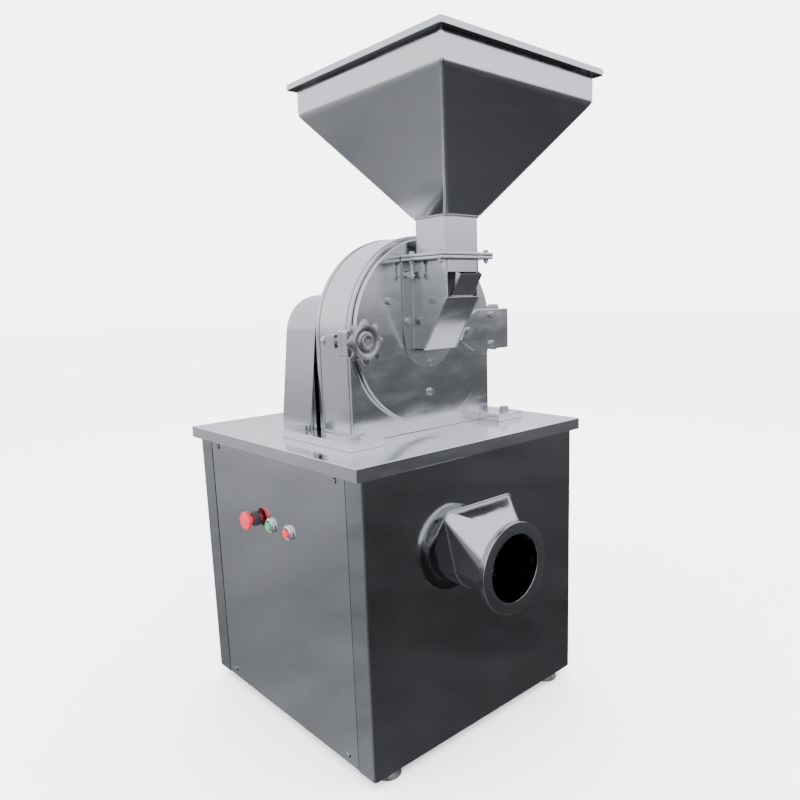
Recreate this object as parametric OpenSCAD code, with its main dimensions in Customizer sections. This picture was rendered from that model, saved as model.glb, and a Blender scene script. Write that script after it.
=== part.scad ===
// Hammer mill with a hinged grinding-chamber door, a top hopper and a sheet steel cabinet.
// Every size is in millimetres. +Z is up, the door and the outlet face -Y, the switches face -X.
// The parts are drawn about the middle of the cabinet, then place() moves them so that the
// origin is on the floor under the middle of the whole machine.

/* [Cabinet] */
// Width of the folded cap plate
cap_w = 600; // [540:5:760]
// Depth of the folded cap plate
cap_d = 600; // [560:5:760]
// Height of the cap plate's top face above the floor
cap_top = 592; // [540:2:760]
// Thickness of the cap plate
cap_sheet = 3; // [2:0.5:6]
// Height of the cap plate's folded rim
rim_h = 24; // [15:1:40]
// How far the cap overhangs each side panel
side_lap = 16; // [8:1:25]
// How far the cap overhangs the front and rear panels
front_lap = 10; // [6:1:20]
// Thickness of the panel sheets
sheet = 2; // [1:0.5:3]
// Height of the panels' lower edges above the floor
floor_gap = 20; // [12:1:40]
// Outer width of the frame's square tubes
tube_w = 40; // [30:5:50]
// Wall of the frame's square tubes
tube_wall = 3; // [2:0.5:4]
// Width of the corner strips folded from the front and rear panels
corner_fold = 46; // [42:1:60]
// Slot between a side panel and the rear corner strip
rear_slot = 4; // [1:0.5:10]
// Hairline between a side panel and the front corner strip
front_slot = 0.8; // [0.5:0.1:3]
// Radius of a rubber foot at the floor
foot_r = 25; // [16:1:30]

/* [Panel screws] */
// Radius of a panel screw
screw_r = 2.5; // [2:0.5:4]
// Distance of the screws from the side panel's upright edges
screw_in = 30; // [15:1:45]
// Height of the lower screws above the panel's lower edge
screw_low = 18; // [10:1:30]
// Depth of the upper screws below the cap's top face
screw_high = 37; // [30:1:38]

/* [Outlet] */
// Height of the outlet's centre above the floor
outlet_z = 362; // [330:1:380]
// Sideways offset of the outlet's centre
outlet_x = -6; // [-40:1:40]
// Radius of the outlet's round bore
outlet_r = 64; // [40:1:75]
// Outer radius of the outlet's ring flange
ring_r = 87; // [70:1:100]
// Thickness of the ring flange
ring_t = 12; // [6:1:20]
// Reach of the spout from the front panel to the back of the ring
spout_len = 76; // [40:1:110]
// Wall of the spout and of the inner chute
spout_wall = 2; // [1.5:0.5:4]
// Half width of the spout's flat top edge at the panel
spout_half = 92; // [80:1:110]
// Height of the flat top edge above the outlet's centre, at the panel
spout_rise = 107; // [95:1:115]

/* [Grinding housing] */
// Outer radius of the housing's round top
house_r = 185; // [170:1:230]
// Wall of the housing's shell
house_wall = 8; // [5:1:12]
// Depth of the housing from its front face to its back face
house_depth = 107; // [100:1:150]
// Distance of the housing's front face in front of the cabinet's middle
house_front = 142; // [120:1:170]
// Thickness of the front plate
front_t = 8; // [6:1:12]
// Thickness of the back plate
back_t = 12; // [8:1:16]
// Height of the spindle's axis above the cap
axis_up = 196; // [180:1:240]
// Inner radius of the ring screen
screen_r = 150; // [130:1:160]
// Thickness of the ring screen
screen_t = 2; // [1:0.5:4]
// Radius of one hole in the ring screen
screen_hole_r = 5; // [2:0.5:6]
// Thickness of the foot plates
foot_plate_t = 15; // [8:1:20]
// Width of a foot plate
foot_plate_w = 76; // [60:1:100]
// Inner edge of a foot plate, from the middle
foot_plate_in = 158; // [140:1:175]
// Reach of the foot plates in front of the housing
foot_front = 55; // [40:1:90]
// Reach of the foot plates behind the housing
foot_back = 65; // [60:1:90]
// Radius of the bolts that hold the mill to the cap
mill_bolt_r = 6; // [4:0.5:8]

/* [Rotor] */
// Radius of the rotor's disc
rotor_r = 132; // [110:1:138]
// Thickness of the rotor's disc
rotor_t = 10; // [6:1:16]
// Number of hammers
hammer_count = 8; // [4:1:12]
// Axial length of a hammer
hammer_len = 44; // [30:1:46]
// Radial height of a hammer
hammer_h = 42; // [30:1:50]
// Width of a hammer
hammer_w = 22; // [12:1:26]
// Gap from the hammers' tips to the ring screen
tip_gap = 10; // [5:0.5:16]

/* [Spindle and bearings] */
// Radius of the spindle at its bearings
spindle_r = 20; // [15:1:22]
// Outer radius of a bearing
bearing_r = 40; // [35:1:45]
// Width of a bearing
bearing_w = 18; // [12:1:22]
// Outer radius of the bearing housing's barrel
barrel_r = 55; // [50:1:62]
// Radius of the bearing housing's flange
flange_r = 75; // [68:1:80]
// Running clearance of rotating fits, on the radius
run_fit = 0.05; // [0.02:0.01:0.1]
// Clearance of fixed fits, on the radius
fixed_fit = 0.02; // [0.01:0.01:0.05]
// Clearance of a bolt in its hole, on the radius
bolt_fit = 0.3; // [0.2:0.1:1]

/* [Motor and belts] */
// Radius of the motor's body
motor_r = 96; // [80:1:104]
// Length of the motor's body and cowl
motor_len = 270; // [220:1:290]
// Height of the motor's shaft above its feet
motor_up = 112; // [108:1:124]
// Radius of the motor's shaft
motor_shaft_r = 14; // [10:1:19]
// Outer radius of the motor pulley
motor_pulley_r = 74; // [50:1:85]
// Outer radius of the spindle pulley
spindle_pulley_r = 54; // [45:1:70]
// Width of the pulleys
pulley_w = 40; // [36:1:42]
// Number of belts
belt_count = 2; // [1:1:2]
// Width of a belt at its back
belt_w = 15; // [10:1:16]
// Depth of a belt
belt_h = 10; // [6:1:11]
// Clearance between a belt and its groove
belt_gap = 0.4; // [0.3:0.1:1]

/* [Belt guard] */
// Half width of the guard at its foot
guard_half = 202; // [190:1:220]
// Depth of the guard
guard_d = 103; // [98:1:120]
// Height of the guard's flat top above the spindle's axis
guard_rise = 80; // [76:1:120]
// Radius of the guard's top corners
guard_corner = 80; // [50:1:100]
// Height of the plinth under the guard
plinth_h = 18; // [10:1:30]

/* [Door] */
// Radius of the door
door_r = 179; // [165:1:183]
// Thickness of the door
door_t = 11; // [8:1:16]
// Gap between the door and the housing's front plate
door_gap = 1.5; // [1:0.1:3]
// Radius of the bolt circle of the stator ring
stator_pcd_r = 117; // [112:1:122]
// Radius of the bolts in the door
door_bolt_r = 4; // [3:0.5:5]

/* [Hinge] */
// Distance of the hinge pin to the right of the middle
pin_x = 217; // [212:1:245]
// Distance of the hinge pin behind the housing's front face
pin_back = 12; // [12:1:20]
// Radius of the hinge pin
pin_r = 8; // [5:0.5:9]
// Outer radius of the knuckles
knuckle_r = 13; // [12:0.5:15]
// Height of the hinge plate
hinge_h = 84; // [70:1:100]
// Thickness of the hinge plate
hinge_t = 9; // [6:1:12]
// Gap between the knuckles
knuckle_gap = 0.4; // [0.2:0.1:1]

/* [Door screw] */
// Distance of the door screw to the left of the middle
latch_x = 196; // [194:1:240]
// Height of the door screw below the spindle's axis
latch_drop = 5; // [0:1:20]
// Radius of the door screw
latch_r = 7; // [5:0.5:8]
// Depth that the screw's tip enters its block
latch_bite = 8; // [5:1:12]
// Radius of the handwheel's rim
wheel_r = 31; // [25:1:38]
// Radius of the bead that forms the rim
wheel_bead = 5; // [4:0.5:7]
// Number of finger lobes
lobe_count = 8; // [5:1:10]
// Distance from the door ear to the middle of the wheel's rim
wheel_reach = 34; // [28:1:50]

/* [Feed box] */
// Outer half width of the feed box
box_half = 41; // [35:1:50]
// Depth of the feed box in front of its flange
box_d = 92; // [86:1:110]
// Height of the feed box's top above the spindle's axis
box_rise = 135; // [125:1:150]
// Wall of the feed box
box_wall = 3; // [2:0.5:4]
// Height of the front window's lower edge above the spindle's axis
sill_rise = 67; // [55:1:75]
// Height of the front window's upper edge above the spindle's axis
lintel_rise = 112; // [105:1:118]
// Depth of the feed box's lowest point below the spindle's axis
box_drop = 31; // [26:1:40]
// How far the box's bottom reaches in front of its flange
box_shelf = 28; // [15:1:40]
// Half width of the flange on the door
u_half = 66; // [56:1:70]
// Depth of the flange's lowest point below the spindle's axis
u_drop = 67; // [62:1:80]
// Half width of the feed gate
gate_half = 29; // [20:1:32]
// Free length of the feed gate above the sill
gate_len = 46; // [30:1:55]

/* [Hopper] */
// Distance of the hopper's centre in front of the cabinet's middle
neck_front = 211; // [200:1:230]
// Outer width of the neck
neck_w = 86; // [70:1:96]
// Width of the flange plates
plate_w = 136; // [128:1:150]
// Depth of the flange plates
plate_d = 112; // [104:1:120]
// Thickness of each flange plate
plate_t = 5.5; // [4:0.5:8]
// Thickness of the gasket between the flange plates
gasket_t = 1; // [0.5:0.5:2]
// Length of the neck above its flange
neck_h = 64; // [50:1:100]
// Height of the sloping bowl
cone_h = 190; // [120:1:240]
// Half width of the bowl's upright collar
collar_half = 189; // [150:1:220]
// Height of the upright collar
collar_h = 48; // [20:1:80]
// Wall of the hopper
hopper_wall = 2; // [1:0.5:4]
// Width of the rim beyond the collar
rim_out = 13; // [8:1:25]
// Depth of the rim's folded lip
lip_h = 11; // [6:1:20]

/* [Switches] */
// Height of the switches above the floor
switch_z = 425; // [380:1:470]
// Distance of the middle switch behind the cabinet's middle
switch_y = 8; // [-40:1:40]
// Spacing of the switches
switch_pitch = 65; // [45:1:80]
// Radius of a switch's threaded collar
collar_r = 11; // [9:0.5:12]
// Radius of a switch's bezel
bezel_r = 15; // [13:0.5:18]
// Height of a bezel off the panel
bezel_h = 7; // [4:1:10]
// Radius of the round push caps
cap_r = 8.5; // [6:0.5:9]
// Radius of the stop mushroom
mushroom_r = 19; // [15:1:22]
// Travel of the push caps
press = 3; // [2:0.5:4]

/* [Hidden] */
$fn = 96;
eps = 0.01;

// Cabinet faces
cab_x = cap_w / 2 - side_lap;
cab_y = cap_d / 2 - front_lap;
in_x = cab_x - sheet;
in_y = cab_y - sheet;
frame_top = cap_top - cap_sheet;
panel_top = frame_top - 1;
strip_y = cab_y - corner_fold;
screw_z = [floor_gap + screw_low, cap_top - screw_high];
side_len_front = strip_y - front_slot;
side_len_rear = strip_y - rear_slot;

// Mill planes, all measured along Y from the cabinet's middle
house_y = -house_front;
back_y = house_y + house_depth;
back_in = back_y - back_t;
front_in = house_y + front_t;
axis_z = cap_top + axis_up;
shell_z = cap_top + foot_plate_t;
screen_out = screen_r + screen_t;
mouth_r = screen_out + 0.5;
door_back = house_y - door_gap;
door_y = door_back - door_t;
tip_r = screen_r - tip_gap;
rotor_y = back_in - 13;
disc_front = rotor_y - rotor_t;

// Bearing housing, pulleys and belts
flange_t = 12;
barrel_len = 2 * bearing_w + 7;
barrel_end = back_y + flange_t + barrel_len;
cover_t = 5;
pulley_y = barrel_end + cover_t + 5;
belt_pitch = 18;
belt_mid = pulley_y + pulley_w / 2;
rail_top = floor_gap + tube_w;
motor_z = rail_top + motor_up;
motor_face = pulley_y - 10;
groove_in = belt_h + belt_gap;
belt_out_s = spindle_pulley_r;
belt_out_m = motor_pulley_r;
guard_y = back_y + 7;
guard_end = guard_y + guard_d;
guard_z = shell_z + plinth_h;
plate_end = back_y + foot_back;

// Door hardware
pin_y = house_y + pin_back;
knuckle_low = axis_z - 46;
knuckle_mid = [axis_z - 22, axis_z + 22];
knuckle_high = axis_z + 46;
latch_z = axis_z - latch_drop;
ear_t = 17.5;
ear_y = door_y - ear_t;
block_y = house_y + 10;
washer_t = 2;
hub_y = ear_y - 0.3 - washer_t - 0.3;
wheel_y = ear_y - wheel_reach;
screw_tip = block_y + latch_bite;

// Feed box and hopper
u_t = 4;
u_y = door_y - u_t;
box_y = u_y - box_d;
box_top = axis_z + box_rise;
sill_z = axis_z + sill_rise;
lintel_z = axis_z + lintel_rise;
toe_z = axis_z - box_drop;
toe_y = u_y - box_shelf;
u_low = axis_z - u_drop;
slope_up = sill_z - toe_z;
slope_out = toe_y - box_y;
slope_a = atan(slope_out / slope_up);
neck_y = -neck_front;
gasket_z = box_top + plate_t;
neck_z = gasket_z + gasket_t;
cone_z = neck_z + plate_t + neck_h;
collar_z = cone_z + cone_h;
hopper_top = collar_z + collar_h + 7;
rim_half = collar_half + rim_out;
plate_bolts = [for (x = [-1, 1], y = [12 - plate_d / 2, plate_d / 2 - 23])
    [x * (plate_w / 2 - 9), y]];

// Switches, gland and the machine's middle
switch_ys = [switch_y + switch_pitch, switch_y, switch_y - switch_pitch];
estop_reach = 28;
gland_reach = 22;
mid_x = (max(cap_w / 2, pin_x + knuckle_r) - cab_x - estop_reach) / 2;
rear_reach = max(cap_d / 2, cab_y + gland_reach);
front_reach = max(neck_front + rim_half, cab_y + spout_len + ring_t);
mid_y = (rear_reach - front_reach) / 2;

// Moves a part from the cabinet's middle to the machine's own origin
module place() {
    translate([-mid_x, -mid_y, 0])
        children();
}

// Repeats its children on the left and on the right
module both_sides() {
    children();
    mirror([1, 0, 0])
        children();
}

// A round bar along +Y from y0 to y1
module bar_y(r, y0, y1) {
    translate([0, y0, 0])
        rotate([-90, 0, 0])
            cylinder(r = r, h = y1 - y0);
}

// A square tube of length n along +Z, centred on its axis
module tube(n) {
    difference() {
        translate([-tube_w / 2, -tube_w / 2, 0])
            cube([tube_w, tube_w, n]);
        translate([tube_wall - tube_w / 2, tube_wall - tube_w / 2, -1])
            cube([tube_w - 2 * tube_wall, tube_w - 2 * tube_wall, n + 2]);
    }
}

// A hexagon head or nut across flats af, from z = 0 up
module hexagon(af, h) {
    cylinder(d = af / cos(30), h = h, $fn = 6);
}

// A bolt seated at z = 0 with its head above and its shank below
module hex_bolt(r, n) {
    cylinder(r = 2 * r, h = 1.5);
    translate([0, 0, 1.5 - eps])
        hexagon(3 * r, 1.3 * r);
    translate([0, 0, -n])
        cylinder(r = r, h = n + 1);
}

// A flat rectangle with round corners, centred
module round_rect(w, d, r) {
    square([w - 2 * r, d], center = true);
    square([w, d - 2 * r], center = true);
    for (sx = [-1, 1], sy = [-1, 1])
        translate([sx * (w / 2 - r), sy * (d / 2 - r)])
            circle(r = r);
}

// A square slab with round corners from z0 to z1
module round_slab(w, r, z0, z1) {
    translate([0, 0, z0])
        linear_extrude(z1 - z0)
            round_rect(w, w, r);
}

// A flange plate from z0 to z1, with its bolt holes
module flange_plate(z0, z1) {
    difference() {
        translate([0, 0, z0])
            linear_extrude(z1 - z0)
                round_rect(plate_w, plate_d, 4);
        for (p = plate_bolts)
            translate([p[0], p[1], z0 - 1])
                cylinder(r = 3 + fixed_fit, h = z1 - z0 + 2);
    }
}

// The square opening through both flange plates
module plate_mouth(z0, z1) {
    translate([0, 0, z0])
        linear_extrude(z1 - z0)
            square(2 * (box_half - box_wall - 2), center = true);
}

// Draws its flat children, given in X and Z, from y0 to y1
module plate_y(y0, y1) {
    translate([0, y1, 0])
        rotate([90, 0, 0])
            linear_extrude(y1 - y0)
                children();
}

// Draws its flat children, given in Y and Z, symmetrically about x = 0, w wide
module plate_x(w) {
    translate([-w / 2, 0, 0])
        rotate([90, 0, 90])
            linear_extrude(w)
                children();
}

// ---------------------------------------------------------------- cabinet

// The panel screws of one side, as solids with their heads outwards
module side_screws(r) {
    for (sy = [-1, 1], z = screw_z)
        translate([-cab_x, sy * (side_len_front - screw_in), z])
            rotate([0, 90, 0])
                cylinder(r = r, h = sheet + tube_wall + 2);
}

module frame_posts() {
    color("#5c6066")
        place()
            for (sx = [-1, 1], sy = [-1, 1])
                translate([sx * (in_x - tube_w / 2), sy * (in_y - tube_w / 2), floor_gap])
                    tube(frame_top - floor_gap);
}

// Motor bolts, two on each cross rail
motor_rails = [motor_face - 75, motor_face - 205];
motor_bolt_x = 80;
foot_x = in_x - tube_w - 10;
foot_y = in_y - tube_w + 14;

module frame_rails() {
    long_x = 2 * (in_x - tube_w);
    long_y = 2 * (in_y - tube_w);
    color("#5c6066")
        place()
            difference() {
                union() {
                    for (sy = [-1, 1], z = [floor_gap, frame_top - tube_w])
                        translate([-long_x / 2, sy * (in_y - tube_w / 2), z + tube_w / 2])
                            rotate([0, 90, 0])
                                tube(long_x);
                    for (sx = [-1, 1], z = [floor_gap, frame_top - tube_w])
                        translate([sx * (in_x - tube_w / 2), long_y / 2, z + tube_w / 2])
                            rotate([90, 0, 0])
                                tube(long_y);
                    for (y = motor_rails)
                        translate([-long_x / 2, y, floor_gap + tube_w / 2])
                            rotate([0, 90, 0])
                                tube(long_x);
                }
                both_sides()
                    side_screws(screw_r + fixed_fit);
                for (sx = [-1, 1], y = motor_rails)
                    translate([sx * motor_bolt_x, y, rail_top - tube_wall - 1])
                        cylinder(r = 5 + bolt_fit, h = tube_wall + 2);
                for (sx = [-1, 1], sy = [-1, 1])
                    translate([sx * foot_x, sy * foot_y, floor_gap - 1])
                        cylinder(r = 5 + fixed_fit, h = tube_wall + 2);
            }
}

module feet() {
    color("#2b2b2c")
        place()
            for (sx = [-1, 1], sy = [-1, 1])
                translate([sx * foot_x, sy * foot_y, 0]) {
                    cylinder(r1 = foot_r - 2, r2 = foot_r, h = 3);
                    translate([0, 0, 3 - eps])
                        cylinder(r1 = foot_r, r2 = foot_r - 4, h = floor_gap - 3 + eps);
                    cylinder(r = 5, h = floor_gap + tube_wall + 6);
                }
}

// The outlet's section at the panel, grown by g
module mouth_2d(g) {
    corner = 14;
    hull() {
        translate([outlet_x, outlet_z + 12])
            circle(r = outlet_r + 6 + g);
        for (sx = [-1, 1])
            translate([outlet_x + sx * (spout_half - 2 - corner), outlet_z + spout_rise - 2 - corner])
                circle(r = corner + g, $fn = 32);
    }
}

// A panel across the cabinet's front with strips folded back along both sides
module folded_panel() {
    translate([-cab_x, -cab_y, floor_gap])
        cube([2 * cab_x, sheet, panel_top - floor_gap]);
    both_sides()
        translate([in_x, -cab_y, floor_gap])
            cube([sheet, corner_fold, panel_top - floor_gap]);
}

module front_panel() {
    color("#8e9196")
        place()
            difference() {
                folded_panel();
                plate_y(-cab_y - 1, -in_y + 1)
                    mouth_2d(0);
            }
}

gland_x = 170;
gland_z = 110;

module rear_panel() {
    color("#8e9196")
        place()
            difference() {
                mirror([0, 1, 0])
                    folded_panel();
                for (i = [0:7], sx = [-1, 1])
                    translate([sx * 95 - 70, in_y - 1, 150 + 14 * i])
                        cube([140, sheet + 2, 5]);
                translate([gland_x, 0, gland_z])
                    bar_y(8 + fixed_fit, in_y - 1, cab_y + 1);
            }
}

// The left side panel without its switch holes
module side_panel() {
    difference() {
        translate([-cab_x, -side_len_front, floor_gap + 4])
            cube([sheet, side_len_front + side_len_rear, panel_top - floor_gap - 4]);
        side_screws(screw_r + fixed_fit);
    }
}

module left_panel() {
    color("#9da0a5")
        place()
            difference() {
                side_panel();
                for (y = switch_ys)
                    translate([-cab_x - 1, y, switch_z])
                        rotate([0, 90, 0])
                            cylinder(r = collar_r + fixed_fit, h = sheet + 2);
            }
}

module right_panel() {
    color("#9da0a5")
        place()
            mirror([1, 0, 0])
                side_panel();
}

module panel_screws() {
    color("#b9bbbe")
        place()
            both_sides() {
                side_screws(screw_r);
                for (sy = [-1, 1], z = screw_z)
                    translate([-cab_x - 2.5, sy * (side_len_front - screw_in), z])
                        rotate([0, 90, 0])
                            cylinder(r1 = screw_r + 1, r2 = screw_r + 3, h = 2.5);
            }
}

// Bolt centres of the mill's foot plates, right-hand side
mill_bolt_at = [[foot_plate_in + 47, house_y - 28], [foot_plate_in + 58, back_y + 17]];

module cap_plate() {
    slot_half = max(motor_pulley_r, spindle_pulley_r) + 6;
    color("#c4c7cb")
        place()
            difference() {
                translate([-cap_w / 2, -cap_d / 2, cap_top - rim_h])
                    cube([cap_w, cap_d, rim_h]);
                translate([cap_sheet - cap_w / 2, cap_sheet - cap_d / 2, cap_top - rim_h - 1])
                    cube([cap_w - 2 * cap_sheet, cap_d - 2 * cap_sheet, rim_h - cap_sheet + 1]);
                translate([10 - foot_plate_in, front_in + 2, frame_top - 1])
                    cube([2 * foot_plate_in - 20, back_in - front_in - 4, cap_sheet + 2]);
                translate([-slot_half, pulley_y - 4, frame_top - 1])
                    cube([2 * slot_half, pulley_w + 4, cap_sheet + 2]);
                both_sides()
                    for (p = mill_bolt_at)
                        translate([p[0], p[1], frame_top - 1])
                            cylinder(r = mill_bolt_r + bolt_fit, h = cap_sheet + 2);
            }
}

// The chute's solid shape with its inner sides drawn in by g and its ends pushed out by e
module chute_body(g, e) {
    hull() {
        translate([8 - foot_plate_in + g, front_in + g, frame_top - 4])
            cube([2 * foot_plate_in - 16 - 2 * g, back_in - front_in - 2 * g, 4 + e]);
        plate_y(-in_y - e, -in_y + 4)
            mouth_2d(spout_wall - g);
    }
}

module discharge_chute() {
    color("#a8abaf")
        place()
            difference() {
                chute_body(0, 0);
                chute_body(spout_wall, 1);
            }
}

// The spout's solid shape, grown by g with its ends pushed out by e
module spout_body(g, e) {
    hull() {
        plate_y(-cab_y - 1, -cab_y + e)
            mouth_2d(g);
        translate([outlet_x, 0, outlet_z])
            bar_y(outlet_r + g, -cab_y - spout_len - e, -cab_y - spout_len + 1);
    }
}

module outlet_spout() {
    color("#9ea1a6")
        place()
            difference() {
                spout_body(spout_wall, 0);
                spout_body(0, 1);
            }
}

module outlet_ring() {
    color("#b4b7bb")
        place()
            translate([outlet_x, 0, outlet_z])
                difference() {
                    bar_y(ring_r, -cab_y - spout_len - ring_t, -cab_y - spout_len);
                    bar_y(outlet_r, -cab_y - spout_len - ring_t - 1, -cab_y - spout_len + 1);
                }
}

// ---------------------------------------------------------------- grinding housing

module foot_plates() {
    color("#c0c3c7")
        place()
            both_sides()
                difference() {
                    translate([foot_plate_in, house_y - foot_front, cap_top])
                        cube([foot_plate_w, plate_end - house_y + foot_front, foot_plate_t]);
                    for (p = mill_bolt_at)
                        translate([p[0], p[1], cap_top - 1])
                            cylinder(r = mill_bolt_r + bolt_fit, h = foot_plate_t + 2);
                }
}

module mill_bolts() {
    color("#b9bbbe")
        place()
            both_sides()
                for (p = mill_bolt_at)
                    translate([p[0], p[1], shell_z]) {
                        hex_bolt(mill_bolt_r, foot_plate_t + cap_sheet + 12);
                        translate([0, 0, -foot_plate_t - cap_sheet - mill_bolt_r * 1.5])
                            hexagon(3 * mill_bolt_r, mill_bolt_r * 1.5);
                    }
}

// The housing's outline above the foot plates with a radius of r
module house_2d(r) {
    translate([0, axis_z])
        circle(r = r);
    translate([-r, shell_z])
        square([2 * r, axis_z - shell_z]);
}

// The outline of the front and back plates, which reach the cap between the foot plates
module end_plate_2d() {
    house_2d(house_r);
    translate([-foot_plate_in, cap_top])
        square([2 * foot_plate_in, foot_plate_t + 1]);
}

module housing_shell() {
    color("#b4b7bb")
        place()
            difference() {
                plate_y(front_in, back_in)
                    house_2d(house_r);
                translate([0, 0, axis_z])
                    bar_y(house_r - house_wall, front_in - 1, back_in + 1);
                translate([house_wall - house_r, front_in - 1, cap_top])
                    cube([2 * (house_r - house_wall), back_in - front_in + 2, axis_z - cap_top]);
            }
}

module housing_front() {
    color("#b4b7bb")
        place()
            difference() {
                plate_y(house_y, front_in)
                    end_plate_2d();
                translate([0, 0, axis_z])
                    bar_y(mouth_r, house_y - 1, front_in + 1);
            }
}

module housing_back() {
    color("#a3a6aa")
        place()
            difference() {
                plate_y(back_in, back_y)
                    end_plate_2d();
                translate([0, 0, axis_z])
                    bar_y(spindle_r + 3, back_in - 1, back_y + 1);
            }
}

module ring_screen() {
    rows = 4;
    around = 30;
    span = back_in - house_y - 1;
    color("#8f9296")
        place()
            translate([0, 0, axis_z])
                difference() {
                    bar_y(screen_out, house_y + 1, back_in);
                    bar_y(screen_r, house_y, back_in + 1);
                    for (i = [0:around - 1], k = [0:rows - 1])
                        translate([0, house_y + 1 + span * (k + 0.5) / rows, 0])
                            rotate([0, (i + 0.5 * (k % 2)) * 360 / around, 0])
                                translate([0, 0, screen_r - 2])
                                    cylinder(r = screen_hole_r, h = screen_t + 4, $fn = 24);
                }
}

// ---------------------------------------------------------------- bearings

bearing_a = back_y + 4;
bearing_b = barrel_end - bearing_w;
ball_mid = (spindle_r + bearing_r) / 2;
ball_r = (bearing_r - spindle_r) * 0.28;

// The race groove shared by both rings
module race(y0) {
    translate([0, y0 + bearing_w / 2, 0])
        rotate([-90, 0, 0])
            rotate_extrude()
                translate([ball_mid, 0])
                    circle(r = ball_r + run_fit, $fn = 48);
}

module bearing_housing() {
    color("#7d8084")
        place()
            translate([0, 0, axis_z])
                difference() {
                    union() {
                        bar_y(flange_r, back_y, back_y + flange_t);
                        bar_y(barrel_r, back_y, barrel_end);
                    }
                    bar_y(spindle_r + 5, back_y - 1, back_y + 5);
                    bar_y(bearing_r + fixed_fit, bearing_a, barrel_end + 1);
                }
}

module bearings() {
    color("#a9acb0")
        place()
            translate([0, 0, axis_z])
                for (y = [bearing_a, bearing_b]) {
                    difference() {
                        bar_y(bearing_r, y, y + bearing_w);
                        bar_y(ball_mid + ball_r * 0.6, y - 1, y + bearing_w + 1);
                        race(y);
                    }
                    for (i = [0:8])
                        rotate([0, 40 * i, 0])
                            translate([ball_mid, y + bearing_w / 2, 0])
                                sphere(r = ball_r, $fn = 32);
                }
}

module bearing_cover() {
    color("#8b8e92")
        place()
            translate([0, 0, axis_z])
                difference() {
                    bar_y(barrel_r, barrel_end, barrel_end + cover_t);
                    bar_y(spindle_r + 1, barrel_end - 1, barrel_end + cover_t + 1);
                }
}

// ---------------------------------------------------------------- belt guard

module guard_plinth() {
    side = 10;
    rear = 5;
    color("#8c8f93")
        place() {
            difference() {
                translate([-guard_half, guard_y, shell_z])
                    cube([2 * guard_half, guard_d, plinth_h]);
                translate([side - guard_half, guard_y + side, shell_z - 1])
                    cube([2 * (guard_half - side), guard_d - side - rear, plinth_h + 2]);
            }
            difference() {
                translate([-guard_half, plate_end + 1, cap_top])
                    cube([2 * guard_half, guard_end - plate_end - 1, foot_plate_t + eps]);
                translate([side - guard_half, plate_end, cap_top - 1])
                    cube([2 * (guard_half - side), guard_end - rear - plate_end, foot_plate_t + 2]);
            }
        }
}

// The guard's outline drawn in by g
module guard_2d(g) {
    shoulder = guard_half - 20 - guard_corner;
    top = axis_z + guard_rise - guard_corner;
    hull() {
        for (sx = [-1, 1])
            translate([sx * shoulder, top])
                circle(r = guard_corner - g);
        translate([g - guard_half, guard_z])
            square([2 * (guard_half - g), 1]);
    }
}

module belt_guard() {
    color("#4b4e52")
        place()
            difference() {
                plate_y(guard_y, guard_end)
                    guard_2d(0);
                plate_y(guard_y + 2, guard_end - 2)
                    guard_2d(2);
                translate([2 - guard_half, guard_y + 2, guard_z - 1])
                    cube([2 * (guard_half - 2), guard_d - 4, 2]);
                translate([0, 0, axis_z])
                    bar_y(flange_r + 3, guard_y - 1, guard_y + 3);
            }
}

// ---------------------------------------------------------------- hinge and latch, fixed parts

module hinge_bracket() {
    color("#a3a6aa")
        place()
            difference() {
                union() {
                    for (z = [[knuckle_low, knuckle_mid[0]], [knuckle_mid[1], knuckle_high]]) {
                        translate([house_r - 12, house_y, z[0]])
                            cube([pin_x - house_r + 12, 24, z[1] - z[0]]);
                        translate([pin_x, pin_y, z[0]])
                            cylinder(r = knuckle_r, h = z[1] - z[0]);
                    }
                    translate([house_r - 12, house_y, knuckle_low])
                        cube([18, 24, knuckle_high - knuckle_low]);
                }
                plate_y(house_y - 1, house_y + 30)
                    house_2d(house_r);
                translate([pin_x, pin_y, knuckle_low - 1])
                    cylinder(r = pin_r + fixed_fit, h = knuckle_high - knuckle_low + 2);
            }
}

module hinge_pin() {
    color("#c8cacd")
        place()
            translate([pin_x, pin_y, 0]) {
                translate([0, 0, knuckle_low - 3])
                    cylinder(r = pin_r, h = knuckle_high - knuckle_low + 4);
                translate([0, 0, knuckle_high])
                    cylinder(r = pin_r + 3, h = 4);
            }
}

module latch_block() {
    color("#a3a6aa")
        place()
            difference() {
                translate([-latch_x - 15, block_y, latch_z - 13])
                    cube([latch_x + 15 - house_r + 8, 28, 26]);
                plate_y(block_y - 1, block_y + 30)
                    house_2d(house_r);
                translate([-latch_x, 0, latch_z])
                    bar_y(latch_r + 0.5, block_y - 1, screw_tip + 5);
            }
}

module latch_stud() {
    color("#b9bbbe")
        place()
            translate([-latch_x - 2, 0, latch_z]) {
                bar_y(6, block_y + 28, block_y + 54);
                translate([0, block_y + 38, 0])
                    rotate([-90, 0, 0])
                        hexagon(18, 9);
            }
}

// ---------------------------------------------------------------- motor and belts

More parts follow.
